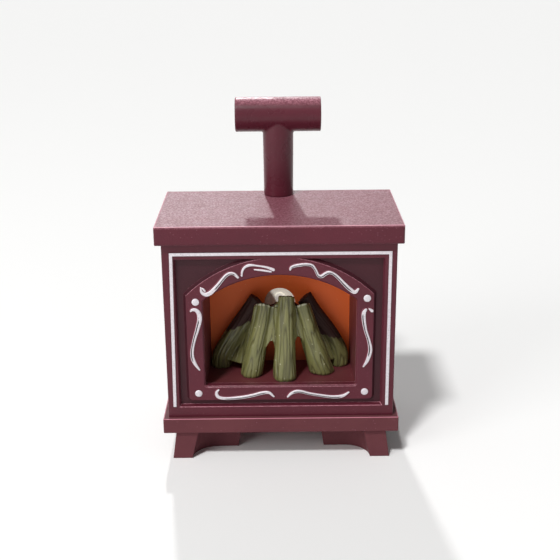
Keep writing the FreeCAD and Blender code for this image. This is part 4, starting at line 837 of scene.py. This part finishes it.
def stick(shape, foot, top, radii, lean, rings, sides, foot_height=None, bow=0.0):
    """Adds a tapered stick whose top is cut by a leaning plane, and its foot by the floor if given."""
    foot, top = Vector(foot) * MM, Vector(top) * MM
    axis = (top - foot).normalized()
    side = axis.cross(Vector((0, 1, 0))).normalized()
    front = side.cross(axis).normalized()
    cut = top_cut(foot, top, lean)
    on_floor = foot_height is not None
    loops = []
    for ring in range(rings + 1):
        thin = FOOT_SHRINK if on_floor and ring == 0 else 1.0
        rise = FOOT_ROUND if on_floor and ring == 1 else ring / rings
        loop = []
        for step in range(sides):
            turn = 2 * math.pi * step / sides
            out = math.cos(turn) * side + math.sin(turn) * front
            low = foot + out * radii[0] * thin * MM
            high = top + out * radii[1] * MM
            if on_floor:
                low = low - axis * ((low.z - foot_height) / axis.z)
            high = high - axis * ((high - top).dot(cut) / axis.dot(cut))
            loop.append(shape.verts.new(low.lerp(high, rise) + Vector((bow * MM * bowed(rise), 0, 0))))
        loops.append(loop)
    for lower, upper in zip(loops, loops[1:]):
        for step in range(sides):
            after = (step + 1) % sides
            shape.faces.new((lower[step], lower[after], upper[after], upper[step]))
    shape.faces.new(loops[0][::-1])
    shape.faces.new(loops[-1])


def along(name, share):
    """A place on a log's middle line, a little behind it."""
    (x, y), top, *_, bow = LOGS[name]
    foot = Vector((x, y, hearth_height / MM))
    return (foot.lerp(Vector(top), share) + Vector((bow * bowed(share), WEB_SETBACK, 0))) * MM


def web(shape, one, other, low, high, arch):
    """Adds a thin sheet between two logs, in strips from one log to the other."""
    back = Vector((0, WEB_THICKNESS / 2 * MM, 0))
    columns = []
    for step in range(WEB_STRIPS + 1):
        share = step / WEB_STRIPS
        raised = low + arch * max(1 - ((share - 0.5) / ARCH_HALF) ** 2, 0)
        ends = [along(one, height).lerp(along(other, height), share) for height in (raised, high)]
        columns.append([shape.verts.new(end + way) for end in ends for way in (-back, back)])
    for before, after in zip(columns, columns[1:]):
        for first, second in ((0, 2), (2, 3), (3, 1), (1, 0)):
            shape.faces.new((before[first], after[first], after[second], before[second]))
    for last in (columns[0], columns[-1]):
        shape.faces.new((last[0], last[1], last[3], last[2]))


print("sticks of", LOG_RINGS, "rings, webs of", WEB_STRIPS, "strips")

# %% [markdown]
# The remesh needs closed shapes that overlap, and its voxels are fine enough to keep a furrow.

# %% Melt the logs into one skin
REMESH_SIZE, SMOOTH_STRENGTH, SMOOTH_TIMES = 0.24 * MM, 0.5, 5

shape = bmesh.new()
for foot, top, radii, _, lean, bow in LOGS.values():
    stick(shape, (*foot, hearth_height / MM), top, radii, lean, LOG_RINGS, LOG_SIDES, hearth_height, bow)
for foot, top, radius in BRANCHES:
    stick(shape, foot, top, (radius, radius), (0, 0), BRANCH_RINGS, BRANCH_SIDES)
for link in WEBS:
    web(shape, *link)
bmesh.ops.recalc_face_normals(shape, faces=shape.faces)
mesh = bpy.data.meshes.new("log_pile_bark")
shape.to_mesh(mesh)
shape.free()
logs = new_piece("log_pile_bark", mesh, painted_log)
melt = logs.modifiers.new("one skin", "REMESH")
melt.mode, melt.voxel_size = "VOXEL", REMESH_SIZE
soften = logs.modifiers.new("soft joins", "SMOOTH")
soften.factor, soften.iterations = SMOOTH_STRENGTH, SMOOTH_TIMES
made_plain(logs)
print("logs before carving:", len(logs.data.vertices), "points")

# %% [markdown]
# Each point of the skin belongs to the log whose side is nearest. Noise that is stretched along that
# log gives the furrows: where the noise passes through zero a furrow runs, so furrows wander, meet
# and part as bark does. Wider noise makes gnarls and finer noise ripples. The same loop marks the
# painted part of each log, its bare cut top, and the rims of two logs, which get a painted highlight, nearly
# white.

# %% Find the log under each point
def on_logs(points):
    """For each point its log's number, its share and run along that log, its place beside the middle
    line, its share from left to right, and how far it lies below the cut top."""
    nearest = np.full(len(points), np.inf)
    found = np.zeros((7, len(points)))
    for number, ((x, y), top, radii, _, lean, bow) in enumerate(LOGS.values()):
        foot, top = np.array((x, y, hearth_height / MM)), np.array(top)
        length = np.linalg.norm(top - foot)
        upright = (top[2] - foot[2]) / length
        share = np.clip((points[:, 2] - foot[2]) / (top[2] - foot[2]), 0, 1)
        middle = foot + np.outer(share, top - foot)
        middle[:, 0] += bow * bowed(share)
        out = points - middle
        radius = radii[0] + (radii[1] - radii[0]) * share
        gap = np.hypot(out[:, 0] * upright, out[:, 1]) - radius
        sideways = np.clip(out[:, 0] / radii[1], -1, 1) / 2 + 0.5
        below = (top - points) @ np.array(top_cut(foot, top, lean))
        mine = gap < nearest
        nearest[mine] = gap[mine]
        rows = (np.full(len(points), number), share, share * length, out[:, 0], out[:, 1], sideways, below)
        found[:, mine] = np.stack(rows)[:, mine]
    return found.T


print("points are shared out between", len(LOGS), "logs")

# %% [markdown]
# The carving moves each point along its normal, and the values for the paint are kept on the points.

# %% Carve the bark and mark the paint
# Width and run of each noise and how far it moves the skin, in millimetres.
FURROW_WIDTH, FURROW_RUN, FURROW_DEPTH = 1.35, 14.0, 0.26
GNARL_WIDTH, GNARL_RUN, GNARL_DEPTH = 3.6, 9.0, 0.34
RIPPLE_WIDTH, RIPPLE_RUN, RIPPLE_DEPTH = 0.55, 2.4, 0.07
# How far the noise of one log lies from the next one's.
NOISE_APART = 17.0
# How steep a furrow's sides are, how round the ridges, and which height stays where it was.
FURROW_STEEP, RIDGE_ROUND, RIDGE_LEVEL = 4.0, 0.7, 0.75
PAINT_EDGE, PAINT_RAGGED = 0.02, 0.05
# The cut top: how deep it stays bare, how ragged that is, and from which share of the length.
BARE_TOP, BARE_RAGGED, TOP_SHARE = 0.16, 0.3, 0.8
# The left and the right log: where their rims get a painted highlight, on ridges, and less where a face lies
# level.
HIGHLIT_RIM_LOGS, HIGHLIT_RIM_DEPTH, HIGHLIT_RIM_HALF = (1, 2), 0.45, 0.4
HIGHLIT_RIM_STEEP, HIGHLIT_RIM_FLOOR, LEVEL_RISE, LEVEL_SHARE = 6.0, 0.6, 0.7, 0.3


def carve(piece):
    """Moves the skin in and out and stores how high, how painted and how highlit each point is."""
    mesh = piece.data
    count = len(mesh.vertices)
    points, normals = np.empty(count * 3), np.empty(count * 3)
    mesh.vertices.foreach_get("co", points)
    mesh.vertex_normals.foreach_get("vector", normals)
    points, normals = points.reshape(-1, 3) / MM, normals.reshape(-1, 3)
    bark, paint, rim = np.zeros(count), np.zeros(count), np.zeros(count)
    limits = [log[3] for log in LOGS.values()]
    for index, (number, share, z, x, y, sideways, below) in enumerate(on_logs(points)):
        apart = NOISE_APART * (number + 1)
        furrow = noise.noise((x / FURROW_WIDTH + apart, y / FURROW_WIDTH, z / FURROW_RUN))
        ripple = noise.noise((x / RIPPLE_WIDTH, y / RIPPLE_WIDTH + apart, z / RIPPLE_RUN))
        gnarl = noise.noise((x / GNARL_WIDTH, y / GNARL_WIDTH + apart, z / GNARL_RUN))
        ridge = min(abs(furrow) * FURROW_STEEP, 1.0) ** RIDGE_ROUND
        left, right = limits[int(number)]
        limit = left + (right - left) * sideways + ripple * PAINT_RAGGED
        painted = min(max((limit - share) / PAINT_EDGE, 0.0), 1.0)
        on_top = below < BARE_TOP + ripple * BARE_RAGGED and share > TOP_SHARE
        bark[index], paint[index] = ridge, 0.0 if on_top else painted
        if number in HIGHLIT_RIM_LOGS:
            near_highlit_rim = max(1 - abs(below - HIGHLIT_RIM_DEPTH) / HIGHLIT_RIM_HALF, 0.0)
            highlit_ridge = min(max(abs(furrow) * HIGHLIT_RIM_STEEP - HIGHLIT_RIM_FLOOR, 0.0), 1.0)
            rim[index] = near_highlit_rim * highlit_ridge * (1.0 if normals[index, 2] < LEVEL_RISE else LEVEL_SHARE)
        push = (ridge - RIDGE_LEVEL) * FURROW_DEPTH + ripple * RIPPLE_DEPTH + gnarl * GNARL_DEPTH
        points[index] += normals[index] * push
    points[:, 2] = np.maximum(points[:, 2], hearth_height / MM)
    mesh.vertices.foreach_set("co", (points * MM).ravel())
    for name, values in (("bark", bark), ("paint", paint), ("rim", rim)):
        mesh.attributes.new(name, "FLOAT", "POINT").data.foreach_set("value", values)
    mesh.shade_smooth()
    mesh.update()
    print("painted share of the points:", round(float(paint.mean()), 3))


carve(logs)
stands_for(logs, "log_pile")
print("logs:", len(logs.data.polygons), "faces")

# %% [markdown]
# ## Silver scrolls
# The scrolls are low maroon relief with a silver stamp over it. The stamp sits a little low and to the
# right, so a thin maroon edge, painted lighter as a highlight, shows above it, and most scrolls are split
# by a fine bare groove, painted dark as shade. Each scroll is swept along its middle line with a rounded
# section that carries the groove.

# %% The middle lines of the scrolls
# Middle lines as shares of the arched frame's half width and of its height, with the width as a share
# of the widest stroke. The last pair says where along the scroll its groove starts and ends, and the
# small curls and drops have none.
NO_GROOVE = (1.0, 1.0)
SCROLLS = {
    "head_right": ([(0.10, 0.920, 0.5), (0.115, 0.938, 0.8), (0.18, 0.950, 0.9), (0.27, 0.956, 0.9),
                    (0.33, 0.948, 0.9), (0.365, 0.92, 0.8), (0.395, 0.882, 0.9), (0.43, 0.874, 1.1),
                    (0.47, 0.890, 1.1), (0.51, 0.900, 1.0), (0.555, 0.891, 0.9), (0.605, 0.865, 1.0),
                    (0.67, 0.822, 1.1), (0.73, 0.785, 1.2), (0.785, 0.764, 1.1), (0.82, 0.786, 0.6)],
                   (0.03, 0.90)),
    "head_left": ([(-0.845, 0.805, 0.4), (-0.838, 0.775, 0.8), (-0.80, 0.757, 1.2), (-0.755, 0.764, 1.35),
                   (-0.715, 0.785, 1.25), (-0.66, 0.823, 1.1), (-0.615, 0.858, 1.0), (-0.57, 0.888, 1.0),
                   (-0.53, 0.900, 0.9), (-0.49, 0.896, 0.9), (-0.45, 0.872, 0.7)],
                  (0.38, 0.92)),
    "head_curl": ([(-0.830, 0.800, 0.4), (-0.815, 0.792, 0.6), (-0.802, 0.779, 0.5)], NO_GROOVE),
    "crown_left": ([(-0.41, 0.882, 0.51), (-0.405, 0.910, 0.59), (-0.385, 0.935, 0.68), (-0.35, 0.950, 0.77),
                    (-0.30, 0.955, 0.68), (-0.24, 0.950, 0.51), (-0.15, 0.940, 0.64), (-0.075, 0.922, 0.94)],
                   NO_GROOVE),
    "crown_second": ([(-0.275, 0.924, 0.34), (-0.19, 0.919, 0.59), (-0.10, 0.909, 0.51)], NO_GROOVE),
    "side_left": ([(-0.962, 0.642, 0.5), (-0.945, 0.652, 0.8), (-0.905, 0.650, 1.1), (-0.875, 0.625, 1.3),
                   (-0.87, 0.58, 1.35), (-0.90, 0.51, 1.2), (-0.935, 0.44, 1.0), (-0.96, 0.37, 1.0),
                   (-0.962, 0.32, 1.1), (-0.94, 0.275, 1.0), (-0.89, 0.225, 0.5)],
                  (0.25, 0.85)),
    "side_right": ([(0.905, 0.642, 0.8), (0.885, 0.62, 1.2), (0.885, 0.57, 1.2), (0.905, 0.50, 1.0),
                    (0.94, 0.43, 1.0), (0.96, 0.37, 1.2), (0.955, 0.33, 1.2), (0.93, 0.28, 1.0),
                    (0.89, 0.238, 0.5)],
                   (0.10, 0.80)),
    "drop_right": ([(0.94, 0.648, 0.4), (0.958, 0.64, 0.8), (0.972, 0.632, 0.9)], NO_GROOVE),
    "foot_left": ([(-0.69, 0.078, 0.5), (-0.712, 0.062, 0.8), (-0.71, 0.040, 1.0), (-0.68, 0.022, 1.0),
                   (-0.60, 0.015, 0.9), (-0.46, 0.020, 1.0), (-0.33, 0.034, 1.0), (-0.22, 0.052, 1.0),
                   (-0.14, 0.055, 0.9), (-0.085, 0.025, 0.5)],
                  (0.25, 0.85)),
    "foot_right": ([(0.065, 0.022, 0.5), (0.10, 0.045, 0.8), (0.15, 0.060, 1.0), (0.21, 0.061, 1.0),
                    (0.30, 0.046, 0.9), (0.42, 0.032, 0.9), (0.55, 0.020, 1.0), (0.66, 0.024, 1.0),
                    (0.735, 0.052, 0.5)],
                   (0.12, 0.85)),
}
print("scrolls:", len(SCROLLS), "lines")

# %% [markdown]
# Bevelled curves would give plain round strokes, but these carry a groove that starts and ends along the way,
# so each is swept one step at a time. A smooth curve runs through the places of its line. At every step along
# it stands the same section, as wide as the line says, and three more at each end close the stroke with
# a round cap. The maroon relief is the same stroke, wider and lower, without a groove.

# %% Scrolls as swept strokes
FRAME_HALF, FRAME_FOOT, FRAME_HEIGHT = 28.85, 20.2, 47.3
PRINT_SHIFT, STROKE_WIDTH, STROKE_HEIGHT, STROKE_STEP = (0.3, -0.15), 1.05, 0.25, 0.2
RELIEF_SHIFT, RELIEF_WIDTH, RELIEF_HEIGHT = (0.08, 0.06), 1.1, 0.1
# Strokes narrower than this share of the widest are lower too.
FULL_HALF_WIDTH = 0.3
GROOVE_PLACE, GROOVE_HALF, GROOVE_FADE, GROOVE_DEPTH = 0.36, 0.26, 0.04, 0.45
# The round cap: how far beyond the end each section stands and how wide it is, as shares.
CAP = [(1.0, 0.02), (0.7, 0.6), (0.35, 0.9)]
# The section across a stroke: each place is a share of half its width, with its height as a share.
SECTION = [(-1.0, 0.0), (-0.97, 0.45), (-0.8, 0.82), (-0.45, 1.0), (-0.1, 1.0), (0.05, 0.95),
           (0.12, 0.92), (GROOVE_PLACE, 0.9), (0.6, 0.92), (0.66, 0.95), (0.78, 0.9), (0.9, 0.7),
           (0.98, 0.4), (1.0, 0.0)]
front_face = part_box("silver_scrolls")[0].y + STROKE_HEIGHT * MM


def smooth_line(points, step):
    """Places along a smooth curve through the points, evenly spaced, each with its width."""
    knots = [Vector(point) for point in points]
    padded = [2 * knots[0] - knots[1], *knots, 2 * knots[-1] - knots[-2]]
    dense = []
    for before, start, end, after in zip(padded, padded[1:], padded[2:], padded[3:]):
        pieces = max(2, int((end - start).to_2d().length / step) + 1)
        for piece in range(pieces):
            t = piece / pieces
            dense.append(0.5 * (2 * start + (end - before) * t
                                + (2 * before - 5 * start + 4 * end - after) * t ** 2
                                + (3 * start - before - 3 * end + after) * t ** 3))
    return dense + [knots[-1]]


def stroke(shape, places, groove, bare_layer, shift, wide, relief, slot):
    """Sweeps the section along a line on the front face, with rounded ends."""
    line = smooth_line([(x * FRAME_HALF + shift[0], FRAME_FOOT + z * FRAME_HEIGHT + shift[1],
                         width * wide / 2) for x, z, width in places], STROKE_STEP)
    line = [(Vector((x, z)), half) for x, z, half in line]
    ways = [(line[min(i + 1, len(line) - 1)][0] - line[max(i - 1, 0)][0]).normalized()
            for i in range(len(line))]
    (first, first_half), (last, last_half) = line[0], line[-1]
    start = [(first - ways[0] * first_half * back, first_half * share, ways[0]) for back, share in CAP]
    end = [(last + ways[-1] * last_half * on, last_half * share, ways[-1]) for on, share in CAP[::-1]]
    stations = start + [(place, half, way) for (place, half), way in zip(line, ways)] + end
    rows = []
    for number, (place, half, way) in enumerate(stations):
        share = number / (len(stations) - 1)
        cut = min(max(min(share - groove[0], groove[1] - share) / GROOVE_FADE, 0.0), 1.0)
        across = Vector((way.y, -way.x))
        height = relief * min(half / (wide * FULL_HALF_WIDTH), 1.0)
        row = []
        for side, rise in SECTION:
            bare = cut if abs(side - GROOVE_PLACE) < GROOVE_HALF else 0.0
            spot = place + across * half * side
            out = height * rise * (1 - GROOVE_DEPTH * bare)
            point = shape.verts.new((spot.x * MM, front_face - out * MM, spot.y * MM))
            point[bare_layer] = bare
            row.append(point)
        rows.append(row)
    for lower, upper in zip(rows, rows[1:]):
        for step in range(len(SECTION) - 1):
            face = shape.faces.new((lower[step], lower[step + 1], upper[step + 1], upper[step]))
            face.material_index = slot


shape = bmesh.new()
bare_layer = shape.verts.layers.float.new("bare")
for places, groove in SCROLLS.values():
    stroke(shape, places, groove, bare_layer, PRINT_SHIFT, STROKE_WIDTH, STROKE_HEIGHT, 0)
    stroke(shape, places, NO_GROOVE, bare_layer, RELIEF_SHIFT, RELIEF_WIDTH, RELIEF_HEIGHT, 1)
bmesh.ops.recalc_face_normals(shape, faces=shape.faces)
mesh = bpy.data.meshes.new("scroll_strokes")
shape.to_mesh(mesh)
shape.free()
scrolls = new_piece("scroll_strokes", mesh, silver, maroon_scroll_highlit)
scrolls.data.shade_smooth()
stands_for(scrolls, "silver_scrolls")
print("scroll strokes:", len(scrolls.data.polygons), "faces")

# %% [markdown]
# ## Screws and studs by Geometry Nodes
# The toy is held by slotted screws of one kind in several lengths, and four round silver studs sit at
# the corners of the arch. Modelling one and copying it would do, but then a changed size would mean
# every copy again. So a node tree builds one screw from named sizes and puts it on every point of a
# small mesh, turned and lengthened by what each point carries. A second tree does the studs.

# %% The start, the end and the run of a node tree
def tree_with_sizes(name, sizes):
    """A Geometry Nodes tree with a geometry socket, named sizes and a material, and what it is given."""
    tree = bpy.data.node_groups.new(name, "GeometryNodeTree")
    tree.interface.new_socket("Geometry", in_out="INPUT", socket_type="NodeSocketGeometry")
    for size in sizes:
        tree.interface.new_socket(size, in_out="INPUT", socket_type="NodeSocketFloat")
    tree.interface.new_socket("Material", in_out="INPUT", socket_type="NodeSocketMaterial")
    tree.interface.new_socket("Geometry", in_out="OUTPUT", socket_type="NodeSocketGeometry")
    return tree, add(tree, "NodeGroupInput").outputs


def ended(tree, geometry, given):
    """Realizes the instances, sets their material and ends the tree."""
    real = add(tree, "GeometryNodeRealizeInstances", {"Geometry": geometry})
    flat = add(tree, "GeometryNodeSetShadeSmooth", {"Geometry": real.outputs[0], "Shade Smooth": False})
    painted = add(tree, "GeometryNodeSetMaterial", {"Geometry": flat.outputs[0],
                                                    "Material": given["Material"]})
    add(tree, "NodeGroupOutput", {"Geometry": painted.outputs[0]})
    return tree


def repeated(name, tree, points, sizes, material, turns=None, shanks=None):
    """Runs a tree over points, with sizes in millimetres, and leaves a plain mesh."""
    mesh = bpy.data.meshes.new(name)
    mesh.from_pydata(points, [], [])
    if turns:
        flat_turns = [angle for turn in turns for angle in turn]
        mesh.attributes.new("turn", "FLOAT_VECTOR", "POINT").data.foreach_set("vector", flat_turns)
        mesh.attributes.new("shank", "FLOAT", "POINT").data.foreach_set("value", shanks)
    piece = new_piece(name, mesh)
    modifier = piece.modifiers.new(tree.name, "NODES")
    modifier.node_group = tree
    sockets = {item.name: item.identifier for item in tree.interface.items_tree if item.in_out == "INPUT"}
    for size, value in sizes.items():
        modifier[sockets[size]] = value * MM
    modifier[sockets["Material"]] = material
    return made_plain(piece)


print("every tree ends in Realize Instances and Set Material")

# %% [markdown]
# The head is a cylinder with a cone on it for the chamfer, and a block cuts its slot. The shank is a
# cylinder one millimetre long that hangs under the head, and each point's own length stretches it.

# %% A tree for slotted screws
HEAD_SIDES, SHANK_SIDES = 40, 24
# The block that cuts the slot is this many head radii long and this many slot depths high.
SLOT_LENGTH_SHARE, SLOT_HEIGHT_SHARE = 3.0, 2.0


def screw_tree():
    """A slotted screw on every point: its head's seat on the point, its shank along the point's turn."""
    tree, given = tree_with_sizes("slotted screws", [
        "Head Radius", "Head Height", "Chamfer", "Slot Width", "Slot Depth", "Shank Radius"])
    rim_height = add(tree, "ShaderNodeMath", {0: given["Head Height"], 1: given["Chamfer"]},
                     operation="SUBTRACT")
    rim_middle = add(tree, "ShaderNodeMath", {0: rim_height.outputs[0], 1: 0.5}, operation="MULTIPLY")
    crown_radius = add(tree, "ShaderNodeMath", {0: given["Head Radius"], 1: given["Chamfer"]},
                       operation="SUBTRACT")
    rim = add(tree, "GeometryNodeMeshCylinder", {"Vertices": HEAD_SIDES, "Radius": given["Head Radius"],
                                                 "Depth": rim_height.outputs[0]})
    crown = add(tree, "GeometryNodeMeshCone", {
        "Vertices": HEAD_SIDES, "Radius Top": crown_radius.outputs[0],
        "Radius Bottom": given["Head Radius"], "Depth": given["Chamfer"]})
    slot_length = add(tree, "ShaderNodeMath", {0: given["Head Radius"], 1: SLOT_LENGTH_SHARE},
                      operation="MULTIPLY")
    slot_height = add(tree, "ShaderNodeMath", {0: given["Slot Depth"], 1: SLOT_HEIGHT_SHARE},
                      operation="MULTIPLY")
    slot_size = add(tree, "ShaderNodeCombineXYZ", {"X": slot_length.outputs[0], "Y": given["Slot Width"],
                                                   "Z": slot_height.outputs[0]})
    slot = add(tree, "GeometryNodeMeshCube", {"Size": slot_size.outputs[0]})
    lifted = []
    for part, height in ((rim, rim_middle.outputs[0]), (crown, rim_height.outputs[0]),
                         (slot, given["Head Height"])):
        lift = add(tree, "ShaderNodeCombineXYZ", {"Z": height})
        lifted.append(add(tree, "GeometryNodeTransform", {"Geometry": part.outputs[0],
                                                          "Translation": lift.outputs[0]}).outputs[0])
    head = add(tree, "GeometryNodeJoinGeometry")
    for part in lifted[:2]:
        tree.links.new(part, head.inputs[0])
    solid = add(tree, "GeometryNodeMergeByDistance", {"Geometry": head.outputs[0],
                                                      "Distance": MERGE_DISTANCE})
    slotted = add(tree, "GeometryNodeMeshBoolean", {"Mesh 1": solid.outputs[0], "Mesh 2": lifted[2]},
                  operation="DIFFERENCE")
    turns = add(tree, "GeometryNodeInputNamedAttribute", {"Name": "turn"}, data_type="FLOAT_VECTOR")
    heads = add(tree, "GeometryNodeInstanceOnPoints", {
        "Points": given["Geometry"], "Instance": slotted.outputs[0], "Rotation": turns.outputs[0]})
    shank = add(tree, "GeometryNodeMeshCylinder", {"Vertices": SHANK_SIDES, "Radius": given["Shank Radius"],
                                                   "Depth": MM})
    hung = add(tree, "GeometryNodeTransform", {"Geometry": shank.outputs[0],
                                               "Translation": (0.0, 0.0, -MM / 2)})
    lengths = add(tree, "GeometryNodeInputNamedAttribute", {"Name": "shank"}, data_type="FLOAT")
    stretch = add(tree, "ShaderNodeCombineXYZ", {"X": 1.0, "Y": 1.0, "Z": lengths.outputs[0]})
    shanks = add(tree, "GeometryNodeInstanceOnPoints", {
        "Points": given["Geometry"], "Instance": hung.outputs[0], "Rotation": turns.outputs[0],
        "Scale": stretch.outputs[0]})
    both = add(tree, "GeometryNodeJoinGeometry", {0: heads.outputs[0]})
    tree.links.new(shanks.outputs[0], both.inputs[0])
    return ended(tree, both.outputs[0], given)


screws = screw_tree()
print("screw tree:", len(screws.nodes), "nodes")

# %% [markdown]
# The CAD model holds each set of screws in one node, laid out as a grid, so the corners of its box give
# the middles of its screws. Every screw's seat lies one head's height inside the box, and the rest of
# the box's depth is its shank. The screws of the battery box face forward, the others back or down.

# %% Put the screws in their places
SCREW_SIZES = {"Head Radius": 1.9, "Head Height": 1.2, "Chamfer": 0.22, "Slot Width": 0.45,
               "Slot Depth": 0.6, "Shank Radius": 1.0}
HEAD_BACK, HEAD_FRONT, HEAD_DOWN = (-math.pi / 2, 0.0, 0.0), (math.pi / 2, 0.0, 0.0), (math.pi, 0.0, 0.0)
head_radius, head_height = SCREW_SIZES["Head Radius"] * MM, SCREW_SIZES["Head Height"] * MM


def grid_of(node, radius, axes):
    """Where the middles of a node's repeated round pieces lie, from the corners of its box."""
    low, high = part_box(node)
    spans = [(low[axis] + radius, high[axis] - radius) for axis in axes]
    return [(first, second) for first in spans[0] for second in spans[1]]


casing_points, casing_turns, casing_shanks = [], [], []
for node in ("fascia_screws", "back_screws", "box_screws"):
    low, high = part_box(node)
    rows = {round(z, 6) for _, z in grid_of(node, head_radius, (0, 2))}
    forward = node == "box_screws"
    for x in (low.x + head_radius, high.x - head_radius):
        for z in sorted(rows):
            casing_points.append((x, low.y + head_height if forward else high.y - head_height, z))
            casing_turns.append(HEAD_FRONT if forward else HEAD_BACK)
            casing_shanks.append((high.y - low.y - head_height) / MM)
low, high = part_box("base_screws")
for x, y in grid_of("base_screws", head_radius, (0, 1)):
    casing_points.append((x, y, low.z + head_height))
    casing_turns.append(HEAD_DOWN)
    casing_shanks.append((high.z - low.z - head_height) / MM)
casing_screws = repeated("casing_screws", screws, casing_points, SCREW_SIZES, zinc, casing_turns,
                         casing_shanks)
stands_for(casing_screws, "fascia_screws", "back_screws", "box_screws", "base_screws")

low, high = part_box("lid_screw")
lid_point = ((low.x + high.x) / 2, high.y - head_height, (low.z + high.z) / 2)
lid_screw = repeated("lid_screw_slotted", screws, [lid_point], SCREW_SIZES, zinc, [HEAD_BACK],
                     [(high.y - low.y - head_height) / MM])
stands_for(lid_screw, "lid_screw")
print("screws:", len(casing_points) + 1)

# %% [markdown]
# The studs were stamped with the scrolls, and the stamp missed some of the raised dots by a little, so
# each stud is shifted from its CAD place by what the photograph shows.

# %% A tree for the studs, and their places
STUD_SIZES, STUD_SEGMENTS, STUD_RINGS = {"Radius": 1.15, "Height": 0.3}, 32, 20
# How far each stud's print sits from its CAD place: left low, left high, right low, right high.
STUD_SHIFTS = [(0.0, -0.05), (0.0, -0.43), (0.0, 0.05), (0.3, 0.3)]


def stud_tree():
    """A low round dome on every point, facing the front."""
    tree, given = tree_with_sizes("round studs", ["Radius", "Height"])
    ball = add(tree, "GeometryNodeMeshUVSphere", {"Segments": STUD_SEGMENTS, "Rings": STUD_RINGS,
                                                  "Radius": given["Radius"]})
    flatness = add(tree, "ShaderNodeMath", {0: given["Height"], 1: given["Radius"]}, operation="DIVIDE")
    squash = add(tree, "ShaderNodeCombineXYZ", {"X": 1.0, "Y": flatness.outputs[0], "Z": 1.0})
    domes = add(tree, "GeometryNodeInstanceOnPoints", {
        "Points": given["Geometry"], "Instance": ball.outputs[0], "Scale": squash.outputs[0]})
    return ended(tree, domes.outputs[0], given)


stud_places = grid_of("silver_studs", STUD_SIZES["Radius"] * MM, (0, 2))
stud_points = [(x + across * MM, front_face, z + rise * MM)
               for (x, z), (across, rise) in zip(stud_places, STUD_SHIFTS)]
stud_domes = repeated("stud_domes", stud_tree(), stud_points, STUD_SIZES, silver)
stud_domes.data.shade_smooth()
stands_for(stud_domes, "silver_studs")
print("studs:", len(stud_points))

# %% [markdown]
# ## Finishes of the parts that stay as they are
# The chimney, the firebox, the panel and all the small parts inside keep their CAD shape. It is smooth
# enough to look at, and a copy would only add a piece to keep in step. Each takes the finish of the real
# part, so the slot of its CAD mesh is emptied and filled again.

# %% Give the CAD nodes that stay their materials
FINISHES = {
    "chimney": maroon_pipe, "firebox_liner": firebox_maroon, "glow_panel": orange, "lamp_reflector": cup,
    "lamp_bulb": glass, "lamp_ferrule": brass, "battery_box": black, "switch_housing": black,
    "switch_knob": black, "switch_pads": brass, "switch_bridge": nickel, "battery_link": nickel,
    "contact_negative": nickel, "contact_positive": nickel, "battery_springs": spring_wire,
    "chimney_clip": spring_wire, "cell_lower": cell_sleeve, "cell_upper": cell_sleeve,
    "lead_negative": black_vinyl, "lead_positive": red_vinyl, "lead_switched": black_vinyl,
    "silver_border": silver,
}
for node, material in FINISHES.items():
    slots = frame["nodes"][node].data.materials
    slots.clear()
    slots.append(material)
print("CAD nodes with a finish of their own:", len(FINISHES))
